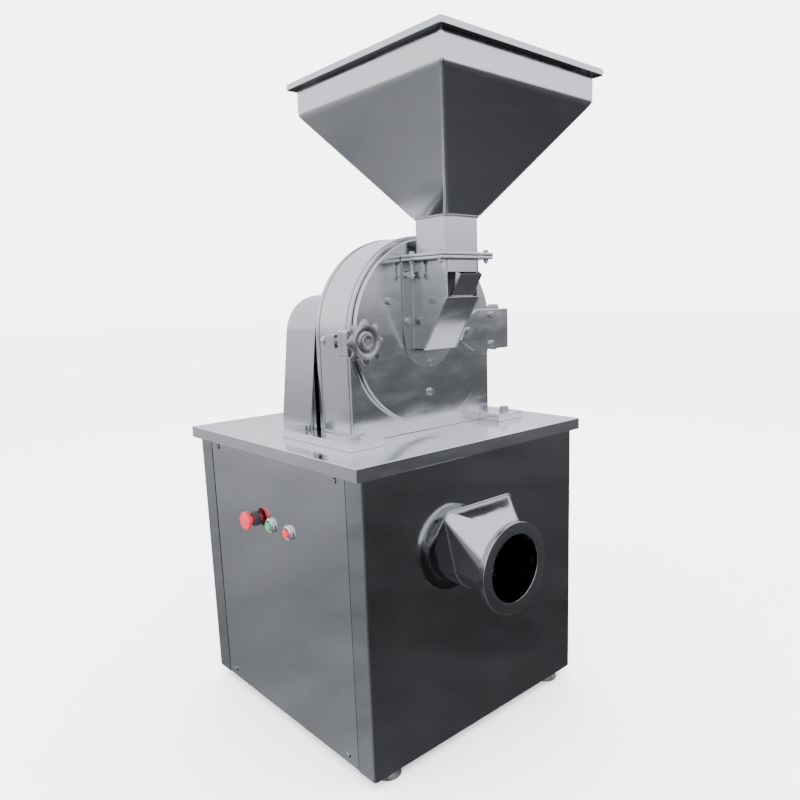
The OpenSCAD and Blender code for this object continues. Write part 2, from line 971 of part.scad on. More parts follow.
module motor_body() {
    y0 = motor_face - motor_len;
    color("#4d6a86")
        place()
            difference() {
                union() {
                    translate([0, 0, motor_z]) {
                        bar_y(motor_r - 6, y0 + 70, motor_face);
                        bar_y(motor_r, y0, y0 + 75);
                        bar_y(motor_r, motor_face - 22, motor_face - 4);
                        for (a = [0:15:345])
                            rotate([0, a, 0])
                                translate([-1.5, y0 + 75, motor_r - 8])
                                    cube([3, motor_len - 96, 6]);
                    }
                    for (sx = [-1, 1], y = motor_rails) {
                        translate([sx * motor_bolt_x - 25, y - 18, rail_top])
                            cube([50, 36, 10]);
                        translate([sx * 58 - 10, y - 10, rail_top])
                            cube([20, 20, motor_up - 50]);
                    }
                    translate([-45, motor_face - 150, motor_z + motor_r - 20])
                        cube([90, 80, 50]);
                }
                translate([0, 0, motor_z])
                    bar_y(motor_shaft_r + run_fit, motor_face - 61, motor_face + 1);
                for (sx = [-1, 1], y = motor_rails)
                    translate([sx * motor_bolt_x, y, rail_top - 1])
                        cylinder(r = 5 + bolt_fit, h = 12);
            }
}

module motor_bolts() {
    color("#b9bbbe")
        place()
            for (sx = [-1, 1], y = motor_rails)
                translate([sx * motor_bolt_x, y, rail_top + 10]) {
                    hex_bolt(5, 24);
                    translate([0, 0, -10 - tube_wall - 7])
                        hexagon(15, 7);
                }
}

// A belt's loop round both pulleys, with their outer radii drawn in by g
module loop_2d(g) {
    hull() {
        translate([0, axis_z])
            circle(r = belt_out_s - g);
        translate([0, motor_z])
            circle(r = belt_out_m - g);
    }
}

belt_ys = [for (i = [0:belt_count - 1]) belt_mid + (i - (belt_count - 1) / 2) * belt_pitch];

module drive_belts() {
    color("#27282a")
        place()
            for (y = belt_ys)
                difference() {
                    plate_y(y - belt_w / 2, y + belt_w / 2)
                        loop_2d(0);
                    plate_y(y - belt_w / 2 - 1, y + belt_w / 2 + 1)
                        loop_2d(belt_h);
                }
}

// A grooved pulley about the Y axis with outer radius r and bore radius b
module pulley(r, b) {
    difference() {
        bar_y(r, pulley_y, pulley_y + pulley_w);
        bar_y(b, pulley_y - 1, pulley_y + pulley_w + 1);
        for (y = belt_ys)
            difference() {
                bar_y(r + 1, y - belt_w / 2 - belt_gap, y + belt_w / 2 + belt_gap);
                bar_y(r - groove_in, y - belt_w / 2 - 1, y + belt_w / 2 + 1);
            }
    }
}

// ---------------------------------------------------------------- switches and gland

module button_bezels() {
    color("#c8cacd")
        place()
            for (y = switch_ys)
                translate([-cab_x, y, switch_z])
                    rotate([0, 90, 0]) {
                        difference() {
                            union() {
                                translate([0, 0, -bezel_h])
                                    cylinder(r = bezel_r, h = bezel_h);
                                cylinder(r = collar_r, h = 22);
                            }
                            translate([0, 0, -bezel_h - 1])
                                cylinder(r = cap_r + 0.4, h = bezel_h + 24);
                        }
                        translate([0, 0, sheet])
                            difference() {
                                cylinder(r = bezel_r + 1, h = 5);
                                translate([0, 0, -1])
                                    cylinder(r = collar_r + fixed_fit, h = 7);
                            }
                    }
}

module switch_blocks() {
    color("#303236")
        place()
            for (y = switch_ys)
                translate([22 - cab_x, y - 15, switch_z - 20])
                    cube([38, 30, 40]);
}

module cable_gland() {
    color("#2b2b2c")
        place()
            translate([gland_x, 0, gland_z])
                difference() {
                    union() {
                        bar_y(8, in_y - 12, cab_y + 1);
                        bar_y(12, cab_y, cab_y + 12);
                        bar_y(10, cab_y + 12 - eps, cab_y + gland_reach);
                        translate([0, in_y - 6, 0])
                            rotate([-90, 0, 0])
                                hexagon(24, 6);
                    }
                    bar_y(5, in_y - 13, cab_y + gland_reach + 1);
                }
}

// ---------------------------------------------------------------- spindle and rotor

module spindle_shaft() {
    color("#c4c7cb")
        place()
            translate([0, 0, axis_z]) {
                bar_y(10, disc_front - 18, rotor_y);
                bar_y(16, disc_front, rotor_y + 3);
                bar_y(spindle_r, rotor_y, barrel_end + cover_t);
                bar_y(spindle_r - 3, barrel_end, pulley_y + pulley_w);
            }
}

module bearing_inner_rings() {
    color("#a9acb0")
        place()
            translate([0, 0, axis_z])
                for (y = [bearing_a, bearing_b])
                    difference() {
                        bar_y(ball_mid - ball_r * 0.6, y, y + bearing_w);
                        bar_y(spindle_r + fixed_fit, y - 1, y + bearing_w + 1);
                        race(y);
                    }
}

module spindle_pulley() {
    color("#7d8084")
        place()
            translate([0, 0, axis_z])
                pulley(spindle_pulley_r, spindle_r - 3 + fixed_fit);
}

module rotor_disc() {
    color("#9fa2a6")
        place()
            translate([0, 0, axis_z])
                difference() {
                    bar_y(rotor_r, disc_front, rotor_y);
                    bar_y(16 + fixed_fit, disc_front - 1, rotor_y + 1);
                    translate([0, rotor_y - eps, 0])
                        bar_y(spindle_r + fixed_fit, 0, 1);
                    for (i = [0:hammer_count - 1])
                        rotate([0, i * 360 / hammer_count, 0])
                            translate([0, 0, tip_r - hammer_h / 2 - 4])
                                bar_y(4 + fixed_fit, disc_front - 1, rotor_y + 1);
                }
}

module hammers() {
    color("#85888c")
        place()
            translate([0, 0, axis_z])
                for (i = [0:hammer_count - 1])
                    rotate([0, i * 360 / hammer_count, 0])
                        difference() {
                            translate([-hammer_w / 2, disc_front - hammer_len, tip_r - hammer_h])
                                cube([hammer_w, hammer_len, hammer_h]);
                            translate([0, 0, tip_r - hammer_h / 2 - 4])
                                bar_y(4 + fixed_fit, disc_front - 17, disc_front + 1);
                        }
}

module hammer_bolts() {
    color("#b9bbbe")
        place()
            translate([0, 0, axis_z])
                for (i = [0:hammer_count - 1])
                    rotate([0, i * 360 / hammer_count, 0])
                        translate([0, rotor_y, tip_r - hammer_h / 2 - 4])
                            rotate([-90, 0, 0])
                                hex_bolt(4, rotor_t + 16);
}

module rotor_nut() {
    color("#b9bbbe")
        place()
            translate([0, 0, axis_z])
                difference() {
                    union() {
                        bar_y(24, disc_front - 3, disc_front);
                        translate([0, disc_front - 15, 0])
                            rotate([-90, 0, 0])
                                hexagon(32, 12 + eps);
                    }
                    bar_y(10 + fixed_fit, disc_front - 16, disc_front + 1);
                }
}

module motor_shaft() {
    color("#c4c7cb")
        place()
            translate([0, 0, motor_z])
                bar_y(motor_shaft_r, motor_face - 60, pulley_y + pulley_w);
}

module motor_pulley() {
    color("#7d8084")
        place()
            translate([0, 0, motor_z])
                pulley(motor_pulley_r, motor_shaft_r + fixed_fit);
}

// ---------------------------------------------------------------- door

lug_x = pin_x - 17;
lug_low = axis_z - 44;
lug_high = lug_low + hinge_h;
feed_low = axis_z - 26;
feed_high = axis_z + 52;
feed_half = 35;
stator_at = [for (a = [147, 33, -90]) [stator_pcd_r * cos(a), axis_z + stator_pcd_r * sin(a)]];
u_bolt_x = u_half - 10;
u_bolt_at = [[-u_bolt_x, box_top - 24], [u_bolt_x, box_top - 24], [-u_bolt_x, axis_z + 24],
    [u_bolt_x, axis_z + 24], [0, u_low + 9]];
hinge_bolt_at = [[lug_x - 26, lug_high - 12], [lug_x - 26, lug_low + 11], [lug_x - 97, axis_z - 2]];

// Bars of radius r from y0 to y1 at a list of points given in X and Z
module bars_at(list, r, y0, y1) {
    for (p = list)
        translate([p[0], 0, p[1]])
            bar_y(r, y0, y1);
}

// The feed opening, in X and Z
module feed_hole_2d() {
    translate([0, (feed_low + feed_high) / 2])
        round_rect(2 * feed_half, feed_high - feed_low, 10);
}

module door_disc() {
    color("#b9bcc0")
        place()
            difference() {
                union() {
                    translate([0, 0, axis_z])
                        bar_y(door_r, door_y, door_back);
                    translate([140, door_y, lug_low])
                        cube([lug_x - 140, door_t, hinge_h]);
                    translate([-latch_x - 16, ear_y, latch_z - 28])
                        cube([52, ear_t, 49]);
                    translate([-latch_x - 16, door_y - eps, latch_z - 28])
                        cube([52, door_t, 49]);
                }
                plate_y(door_y - 1, door_back + 1)
                    feed_hole_2d();
                translate([0, 0, axis_z])
                    difference() {
                        bar_y(166, door_back - 3, door_back + 1);
                        bar_y(158, door_back - 4, door_back + 2);
                    }
                translate([-latch_x, 0, latch_z])
                    bar_y(latch_r + 0.4, ear_y - 1, door_back + 1);
                bars_at(stator_at, door_bolt_r + fixed_fit, door_y - 1, door_back + 1);
                bars_at(u_bolt_at, door_bolt_r + fixed_fit, door_y - 1, door_back - 1);
                bars_at(hinge_bolt_at, door_bolt_r + fixed_fit, door_y - 1, door_back - 1);
            }
}

module door_seal() {
    color("#d9d6cc")
        place()
            translate([0, 0, axis_z])
                difference() {
                    bar_y(166, door_back - 3, house_y - 0.3);
                    bar_y(158, door_back - 4, house_y + 1);
                }
}

module stator_ring() {
    teeth = 24;
    color("#8f9296")
        place()
            difference() {
                translate([0, 0, axis_z])
                    difference() {
                        bar_y(stator_pcd_r + 13, door_back, door_back + 23);
                        bar_y(stator_pcd_r - 17, door_back - 1, door_back + 24);
                        for (i = [0:teeth - 1])
                            rotate([0, (i + 0.5) * 360 / teeth, 0])
                                translate([-4, door_back + 8, stator_pcd_r - 20])
                                    cube([8, 17, 9]);
                    }
                bars_at(stator_at, door_bolt_r + fixed_fit, door_back - 1, door_back + 16);
            }
}

module door_bolts() {
    color("#b9bbbe")
        place() {
            for (p = stator_at)
                translate([p[0], door_y, p[1]])
                    rotate([90, 0, 0])
                        hex_bolt(door_bolt_r, door_t + 14);
            for (p = u_bolt_at)
                translate([p[0], u_y, p[1]])
                    rotate([90, 0, 0])
                        hex_bolt(door_bolt_r, u_t + door_t - 2);
            for (p = hinge_bolt_at)
                translate([p[0], door_y - hinge_t, p[1]])
                    rotate([90, 0, 0])
                        hex_bolt(door_bolt_r, hinge_t + door_t - 2);
        }
}

// ---------------------------------------------------------------- feed box and hopper

wall_out = box_wall / cos(slope_a);

// The flange of the feed box, in X and Z
module u_flange_2d() {
    translate([0, u_low + u_half])
        circle(r = u_half);
    translate([-u_half, u_low + u_half])
        square([2 * u_half, box_top - u_low - u_half]);
}

// Moves its children to the sill, with +Z up the slope and +Y into the box
module on_slope() {
    translate([0, box_y, sill_z])
        rotate([slope_a, 0, 0])
            children();
}

module feed_box() {
    guide_low = -100;
    guide_high = -4;
    color("#aaadb1")
        place() {
            difference() {
                union() {
                    plate_y(u_y, door_y)
                        u_flange_2d();
                    plate_x(2 * box_half)
                        polygon([[u_y + eps, box_top], [box_y, box_top], [box_y, sill_z],
                            [toe_y, toe_z], [u_y + eps, toe_z]]);
                }
                plate_x(2 * (box_half - box_wall))
                    polygon([[u_y, box_top + 1], [box_y + box_wall, box_top + 1],
                        [box_y + box_wall, sill_z], [box_y + wall_out, sill_z],
                        [toe_y + wall_out - box_wall * tan(slope_a), toe_z + box_wall],
                        [u_y, toe_z + box_wall]]);
                translate([box_wall - box_half, box_y - 1, sill_z])
                    cube([2 * (box_half - box_wall), box_wall + 2, lintel_z - sill_z]);
                plate_y(u_y - 1, door_y + 1)
                    feed_hole_2d();
                bars_at(u_bolt_at, door_bolt_r + fixed_fit, u_y - 1, door_y + 1);
            }
            both_sides()
                on_slope() {
                    translate([gate_half + 0.4, box_wall, guide_low])
                        cube([box_half - box_wall - gate_half - 0.4, 4.6, guide_high - guide_low]);
                    translate([gate_half - 4, box_wall + 2.6, guide_low])
                        cube([box_half - box_wall - gate_half + 4, 2, guide_high - guide_low]);
                }
            translate([0, neck_y, 0])
                difference() {
                    flange_plate(box_top, box_top + plate_t);
                    plate_mouth(box_top - 1, box_top + plate_t + 1);
                }
        }
}

module flange_gasket() {
    color("#3a3b3d")
        place()
            translate([0, neck_y, 0])
                difference() {
                    flange_plate(gasket_z, neck_z);
                    plate_mouth(gasket_z - 1, neck_z + 1);
                }
}

module flange_bolts() {
    grip = 2 * plate_t + gasket_t;
    color("#b9bbbe")
        place()
            for (p = plate_bolts)
                translate([p[0], neck_y + p[1], neck_z + plate_t]) {
                    hex_bolt(3, p[0] < 0 && p[1] > 0 ? grip + 34 : grip + 8);
                    translate([0, 0, -grip - 5])
                        hexagon(9.2, 5);
                }
}

module hopper_neck() {
    color("#aaadb1")
        place()
            translate([0, neck_y, 0])
                difference() {
                    union() {
                        flange_plate(neck_z, neck_z + plate_t);
                        round_slab(neck_w, 12, neck_z, cone_z);
                    }
                    round_slab(neck_w - 2 * hopper_wall, 12 - hopper_wall, neck_z - 1, cone_z + 1);
                }
}

// The sloping bowl as a solid, drawn in by g with its ends pushed out by e
module cone_body(g, e) {
    hull() {
        translate([0, 0, cone_z - e])
            linear_extrude(0.01)
                round_rect(neck_w - 2 * g, neck_w - 2 * g, 12 - g, $fn = 32);
        translate([0, 0, collar_z + e])
            linear_extrude(0.01)
                round_rect(2 * (collar_half - g), 2 * (collar_half - g), 12 - g, $fn = 32);
    }
}

module hopper_bowl() {
    top = hopper_top - hopper_wall;
    color("#b4b7bb")
        place()
            translate([0, neck_y, 0]) {
                difference() {
                    cone_body(0, 0);
                    cone_body(hopper_wall, 0.02);
                }
                difference() {
                    round_slab(2 * collar_half, 12, collar_z, top);
                    round_slab(2 * (collar_half - hopper_wall), 10, collar_z - 1, top + 1);
                }
            }
}

module hopper_rim() {
    inner = 2 * (collar_half - hopper_wall);
    color("#bfc2c6")
        place()
            translate([0, neck_y, 0])
                difference() {
                    round_slab(2 * rim_half, 6, hopper_top - lip_h, hopper_top);
                    round_slab(2 * (rim_half - hopper_wall), 4, hopper_top - lip_h - 1,
                        hopper_top - hopper_wall);
                    round_slab(inner, 10, hopper_top - hopper_wall - 1, hopper_top + 1);
                }
}

// ---------------------------------------------------------------- moving hardware

module hinge_plate() {
    z0 = knuckle_mid[0] + knuckle_gap;
    z1 = knuckle_mid[1] - knuckle_gap;
    color("#a3a6aa")
        place()
            difference() {
                union() {
                    plate_y(door_y - hinge_t, door_y)
                        polygon([[pin_x - 135, axis_z - 22], [pin_x - 98, lug_low],
                            [pin_x + 11, lug_low], [pin_x + 11, lug_high],
                            [pin_x - 87, lug_high], [pin_x - 112, lug_high - 13]]);
                    translate([pin_x - 9, door_y - eps, z0])
                        cube([18, pin_y - door_y, z1 - z0]);
                    translate([pin_x, pin_y, z0])
                        cylinder(r = knuckle_r, h = z1 - z0);
                }
                translate([pin_x, pin_y, z0 - 1])
                    cylinder(r = pin_r + run_fit, h = z1 - z0 + 2);
                bars_at(hinge_bolt_at, door_bolt_r + fixed_fit, door_y - hinge_t - 1, door_y + 1);
            }
}

module thrust_washer() {
    color("#c8cacd")
        place()
            translate([-latch_x, 0, latch_z])
                difference() {
                    bar_y(latch_r + 6, ear_y - 0.3 - washer_t, ear_y - 0.3);
                    bar_y(latch_r + 0.4, ear_y - 3 - washer_t, ear_y + 1);
                }
}

module hand_screw() {
    color("#c4c7cb")
        place()
            translate([-latch_x, 0, latch_z])
                bar_y(latch_r, wheel_y - 6, screw_tip);
}

module handwheel() {
    color("#a9acb0")
        place()
            translate([-latch_x, 0, latch_z])
                difference() {
                    union() {
                        bar_y(latch_r + 8, wheel_y - 2, hub_y);
                        bar_y(wheel_r, wheel_y - 3, wheel_y + 3);
                        translate([0, wheel_y, 0])
                            rotate([-90, 0, 0])
                                rotate_extrude()
                                    translate([wheel_r, 0])
                                        circle(r = wheel_bead, $fn = 32);
                        for (i = [0:lobe_count - 1])
                            rotate([0, i * 360 / lobe_count, 0])
                                translate([0, 0, wheel_r + 3])
                                    bar_y(8, wheel_y - wheel_bead + 1, wheel_y + wheel_bead - 1);
                    }
                    bar_y(latch_r + fixed_fit, wheel_y - 10, hub_y + 1);
                }
}

module feed_gate() {
    color("#b9bcc0")
        place()
            on_slope() {
                translate([-gate_half, box_wall + 0.3, -60])
                    cube([2 * gate_half, 2, 60 + gate_len]);
                both_sides()
                    translate([gate_half - 2, 0, 0])
                        rotate([90, 0, 90])
                            linear_extrude(2)
                                polygon([[box_wall + 1, 21], [box_wall + 1, gate_len],
                                    [box_wall + 15, gate_len]]);
            }
}

// A push cap at the switch position y, with its face at reach from the panel
module push_cap(y, reach) {
    translate([-cab_x, y, switch_z])
        rotate([0, 90, 0])
            translate([0, 0, -reach])
                cylinder(r = cap_r, h = reach + 18);
}

module start_button() {
    color("#1f9a55")
        place()
            push_cap(switch_ys[1], bezel_h + press + 1);
}

module stop_button() {
    color("#c8282c")
        place()
            push_cap(switch_ys[2], bezel_h + press + 1);
}

module estop_button() {
    color("#c8282c")
        place() {
            push_cap(switch_ys[0], estop_reach - 1);
            translate([-cab_x - estop_reach, switch_ys[0], switch_z])
                rotate([0, 90, 0]) {
                    cylinder(r1 = mushroom_r - 5, r2 = mushroom_r, h = 5);
                    translate([0, 0, 5 - eps])
                        cylinder(r = mushroom_r, h = 7);
                }
        }
}

frame_posts();
frame_rails();
feet();
front_panel();
rear_panel();
left_panel();
right_panel();
panel_screws();
cap_plate();
discharge_chute();
outlet_spout();
outlet_ring();
foot_plates();
mill_bolts();
housing_shell();
housing_front();
housing_back();
ring_screen();
bearing_housing();
bearings();
bearing_cover();
guard_plinth();
belt_guard();
hinge_bracket();
hinge_pin();
latch_block();
latch_stud();
motor_body();
motor_bolts();
drive_belts();
button_bezels();
switch_blocks();
cable_gland();
spindle_shaft();
bearing_inner_rings();
spindle_pulley();
rotor_disc();
hammers();
hammer_bolts();
rotor_nut();
motor_shaft();
motor_pulley();
door_disc();
door_seal();
stator_ring();
door_bolts();
feed_box();
flange_gasket();
flange_bolts();
hopper_neck();
hopper_bowl();
hopper_rim();
hinge_plate();
thrust_washer();
hand_screw();
handwheel();
feed_gate();
start_button();
stop_button();
estop_button();
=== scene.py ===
# %% [markdown]
# # A hammer mill in polished stainless steel
#
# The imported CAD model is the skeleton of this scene: it already has every size, hole and
# joint. Blender's job here is the look. We load the CAD model, light it, give every node a
# finish, and then swap the plain CAD shapes that the eye rests on for detailed pieces.
# Everything is in metres, +Z is up, the door faces -Y and the switches face -X.

import bpy
import numpy as np
from mathutils import Matrix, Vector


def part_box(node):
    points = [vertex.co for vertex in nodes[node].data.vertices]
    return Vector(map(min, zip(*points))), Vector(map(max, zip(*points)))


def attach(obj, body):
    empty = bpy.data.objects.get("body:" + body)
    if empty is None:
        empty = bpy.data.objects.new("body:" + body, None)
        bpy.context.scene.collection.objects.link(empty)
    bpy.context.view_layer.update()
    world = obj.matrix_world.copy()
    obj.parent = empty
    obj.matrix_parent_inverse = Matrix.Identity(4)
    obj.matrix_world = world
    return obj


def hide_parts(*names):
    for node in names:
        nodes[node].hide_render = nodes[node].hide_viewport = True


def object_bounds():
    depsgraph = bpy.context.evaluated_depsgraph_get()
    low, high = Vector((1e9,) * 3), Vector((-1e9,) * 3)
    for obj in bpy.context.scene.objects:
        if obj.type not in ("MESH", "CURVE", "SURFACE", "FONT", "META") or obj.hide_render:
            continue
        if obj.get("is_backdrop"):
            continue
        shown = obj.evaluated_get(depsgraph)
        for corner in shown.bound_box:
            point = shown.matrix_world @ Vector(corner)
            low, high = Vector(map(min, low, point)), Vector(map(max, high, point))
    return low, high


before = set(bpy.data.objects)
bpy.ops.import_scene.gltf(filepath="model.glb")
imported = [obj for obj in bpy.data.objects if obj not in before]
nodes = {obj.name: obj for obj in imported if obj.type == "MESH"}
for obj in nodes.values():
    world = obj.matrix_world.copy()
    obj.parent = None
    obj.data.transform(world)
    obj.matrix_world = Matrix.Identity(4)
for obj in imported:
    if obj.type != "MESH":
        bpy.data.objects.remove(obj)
cad_box = [list(corner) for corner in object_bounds()]
print("CAD nodes:", len(nodes), "box:", np.round(cad_box, 3).tolist())

# %% [markdown]
# ## Where things are
#
# Sizes are read from the CAD nodes, so a change in the CAD model moves the looks with it.
# `low` and `high` give a node's corners as numpy arrays, and `middle` the point between.

# %% Corners of a CAD node


def low(node):
    """The lowest corner of a CAD node's box."""
    return np.array(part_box(node)[0])


def high(node):
    """The highest corner of a CAD node's box."""
    return np.array(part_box(node)[1])


def middle(node):
    """The middle of a CAD node's box: half of lowest plus highest."""
    return (low(node) + high(node)) / 2


rotor_axis = middle("rotor_disc")
mouth = middle("outlet_ring")
print("spindle axis:", rotor_axis.round(4), "outlet:", mouth.round(4))

# %% [markdown]
# ## Camera
#
# The view looks down a little at the machine's front left corner. A camera is three unit
# vectors, right, up and backwards, so we build its matrix from them instead of turning it
# by hand. The small shift keeps the framing without changing the perspective.

# %% Place the camera
right = np.array([0.74080876, -0.67100624, -0.0308709])
up = np.array([0.14057438, 0.10992947, 0.98394835])
backwards = np.cross(right, up)
spot = np.array([-0.9312, -1.1084, 0.8551])
eye_data = bpy.data.cameras.new("eye")
eye = bpy.data.objects.new("eye", eye_data)
bpy.context.scene.collection.objects.link(eye)
eye_data.sensor_width = 36.0
eye_data.lens = 31.19
eye_data.shift_x = -0.0214
eye_data.shift_y = 0.0276
eye.matrix_world = Matrix(
    [[*row, place] for row, place in zip(np.column_stack([right, up, backwards]), spot)]
    + [[0, 0, 0, 1]]
)
bpy.context.scene.camera = eye
print("camera at", spot, "lens", eye_data.lens)

# %% [markdown]
# ## Surfaces from arrays of points
#
# Nearly every piece of a machine like this is a loft: a row of closed outlines, one after
# the other, joined by quads. A bolt is a loft of hexagons and circles, a folded rim is a
# loft of rounded squares, and a weld bead is a loft of small circles along a seam. So one
# function, `loft`, makes the faces, and the shapes differ only in how the outlines are
# worked out. Outlines are arrays, so there are no loops over points.

# %% Loft and merge


def loft(outlines, ends="cap"):
    """Vertices and faces that join R outlines of N points each.
    The point with outline i and step j has index i*N + j, and the quad beside it takes
    (i, j), (i, j+1), (i+1, j+1), (i+1, j). ends: "cap" closes the first and last outline
    with one face each, "ring" joins the last outline to the first."""
    points = np.asarray(outlines, float)
    rows, steps = points.shape[:2]
    last = rows if ends == "ring" else rows - 1
    i, j = np.meshgrid(np.arange(last), np.arange(steps), indexing="ij")
    i2, j2 = (i + 1) % rows, (j + 1) % steps
    quads = np.stack([i * steps + j, i * steps + j2, i2 * steps + j2, i2 * steps + j], -1)
    faces = quads.reshape(-1, 4).tolist()
    if ends == "cap":
        faces.append(list(range(steps))[::-1])
        faces.append(list(range((rows - 1) * steps, rows * steps)))
    return points.reshape(-1, 3), faces


def together(*solids):
    """Several (vertices, faces) as one, with each solid's face indices moved up by the
    number of vertices before it."""
    vertices, faces, start = [], [], 0
    for points, polygons in solids:
        vertices.append(points)
        faces += [[k + start for k in polygon] for polygon in polygons]
        start += len(points)
    return np.concatenate(vertices), faces


def volume(points, faces):
    """Signed volume: the sum of a . (b x c) / 6 over each face's fan of triangles."""
    fans = [(f[0], f[k], f[k + 1]) for f in faces for k in range(1, len(f) - 1)]
    a, b, c = (points[[t[k] for t in fans]] for k in range(3))
    return float(np.einsum("ij,ij->i", a, np.cross(b, c)).sum() / 6)


def outwards(solid):
    """The same solid with its faces turned outwards, judged by its signed volume."""
    points, faces = solid
    centred = points - points.mean(0)
    return solid if volume(centred, faces) > 0 else (points, [f[::-1] for f in faces])


made = []


def flat_faces(piece):
    """Weighs each corner's normal by its faces' areas, so a big flat face stays flat in
    reflections and the thin round edge beside it takes all of the turn."""
    weigh = piece.modifiers.new("flat_faces", "WEIGHTED_NORMAL")
    weigh.keep_sharp = True
    weigh.weight = 100


def lift(name, body, finish, *solids, crease=32, stands_for=(), slot=None):
    """Puts solids into one mesh object that rides on a CAD body, smooth except where
    neighbouring faces meet at more than crease degrees."""
    points, faces = together(*[outwards(s) for s in solids])
    mesh = bpy.data.meshes.new(name)
    mesh.from_pydata(points.tolist(), [], faces)
    mesh.validate()
    mesh.polygons.foreach_set("use_smooth", np.ones(len(mesh.polygons), bool))
    mesh.set_sharp_from_angle(angle=np.radians(crease))
    mesh.materials.append(finish)
    piece = bpy.data.objects.new(name, mesh)
    bpy.context.scene.collection.objects.link(piece)
    flat_faces(piece)
    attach(piece, body)
    if stands_for:
        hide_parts(*stands_for)
    made.append(name)
    print(f"{name}: {len(points)} points, {len(faces)} faces")
    return piece


# %% [markdown]
# ## Outlines
#
# An outline is an (N, 2) array of points that runs once round. The helpers below give
# circles, hexagons and rectangles with round corners. `inset` moves an outline inwards
# along its own normals, which is how a bevel is cut: the outline is drawn a little smaller
# at the face than at the side.

# %% Flat outlines


def circle(radius, count=64):
    """Radius times (cos, sin) of count even angles."""
    angle = np.arange(count) * 2 * np.pi / count
    return radius * np.column_stack([np.cos(angle), np.sin(angle)])


def polygon_round(corners, radii, per_corner=8):
    """A convex or concave outline with each corner replaced by a bend: the blend
    (1-t)^2 p0 + 2t(1-t) c + t^2 p1 between the two tangent points p0 and p1, where c is the
    corner pushed away from their middle by tightness times its distance from it."""
    corners = np.asarray(corners, float)
    radii = np.broadcast_to(np.asarray(radii, float), (len(corners),))
    before = np.roll(corners, 1, 0) - corners
    after = np.roll(corners, -1, 0) - corners
    before_len = np.linalg.norm(before, axis=1, keepdims=True)
    after_len = np.linalg.norm(after, axis=1, keepdims=True)
    cosine = ((before / before_len) * (after / after_len)).sum(1)
    half = np.arccos(np.clip(cosine, -1, 1)) / 2
    reach = radii / np.tan(half)
    reach = np.minimum(reach, 0.49 * np.minimum(before_len, after_len)[:, 0])[:, None]
    start = corners + before / before_len * reach
    stop = corners + after / after_len * reach
    t = np.linspace(0, 1, per_corner)[None, :, None]
    tightness = 0.12
    pull = corners[:, None] - tightness * ((start + stop) / 2 - corners)[:, None]
    arc = (1 - t) ** 2 * start[:, None] + 2 * t * (1 - t) * pull + t**2 * stop[:, None]
    return arc.reshape(-1, 2)


def round_box(width, depth, radius):
    """A rectangle centred on zero with round corners."""
    w, d = width / 2, depth / 2
    return polygon_round([[-w, -d], [w, -d], [w, d], [-w, d]], radius)


def inset(outline, distance):
    """The outline moved inwards by distance along the mean of its two edges' normals,
    divided by the cosine of half the turn so that straight sides stay parallel. The
    divisor is held up at very sharp corners, which would shoot away otherwise."""
    ahead = np.roll(outline, -1, 0) - outline
    ahead /= np.maximum(np.linalg.norm(ahead, axis=1, keepdims=True), 1e-12)
    behind = np.roll(ahead, 1, 0)
    normal = np.column_stack([-(ahead + behind)[:, 1], (ahead + behind)[:, 0]])
    length = np.linalg.norm(normal, axis=1, keepdims=True)
    normal /= np.maximum(length, 1e-12)
    x, y = outline.T
    area = (x * np.roll(y, -1) - np.roll(x, -1) * y).sum()
    sharpest = 0.8
    stretch = 2 / np.maximum(length, sharpest)
    return outline + np.sign(area) * distance * stretch * normal


# %% [markdown]
# ## Standing an outline up in the machine
#
# `facing` turns flat points into points of the machine. Its frame is an origin and three
# directions: the outline's own x, its own y, and the way that it is pushed along. `FRONT`
# is for plates that stand upright and face the door side.

# %% Frames and bevelled solids
FRONT = ([1, 0, 0], [0, 0, 1], [0, -1, 0])
FLAT = ([1, 0, 0], [0, 1, 0], [0, 0, 1])


def facing(outline, origin, axes, along=0.0):
    """origin + x*axes[0] + y*axes[1] + along*axes[2] for each point of the outline."""
    a, b, c = (np.asarray(v, float) for v in axes)
    return np.asarray(origin, float) + outline[:, :1] * a + outline[:, 1:] * b + along * c


def quarter(radius, steps=4):
    """(inset, depth) of a round edge: radius*(1-sin t) and radius*(1-cos t), t to 90."""
    t = np.linspace(0, np.pi / 2, steps)
    return np.column_stack([radius * (1 - np.sin(t)), radius * (1 - np.cos(t))])


def slab(outline, origin, axes, thick, edge):
    """A plate with round edges: outlines inset by quarter() at both faces, pushed along
    from 0 to thick."""
    steps = quarter(edge)
    rows = [facing(inset(outline, i), origin, axes, d) for i, d in steps]
    rows += [facing(inset(outline, i), origin, axes, thick - d) for i, d in steps[::-1]]
    return loft(rows)


def ring_slab(outer, inner, origin, axes, thick, edge):
    """A plate with a hole: the outer wall's outlines, then the inner wall's, joined round
    into a closed ring. Both outlines have the same number of points."""
    steps = quarter(edge, 3)
    rows = [facing(inset(outer, i), origin, axes, d) for i, d in steps]
    rows += [facing(inset(outer, i), origin, axes, thick - d) for i, d in steps[::-1]]
    rows += [facing(inset(inner, -i), origin, axes, thick - d) for i, d in steps]
    rows += [facing(inset(inner, -i), origin, axes, d) for i, d in steps[::-1]]
    return loft(rows, "ring")


def turned(profile, origin, axes, count=64):
    """A lathe-turned solid: each (radius, along) of the profile becomes a circle."""
    rows = [facing(circle(max(r, 1e-5), count), origin, axes, d) for r, d in profile]
    return loft(rows)


def turned_ring(profile, origin, axes, count=64):
    """A lathe-turned ring: the profile is a closed loop of (radius, along)."""
    rows = [facing(circle(r, count), origin, axes, d) for r, d in profile]
    return loft(rows, "ring")


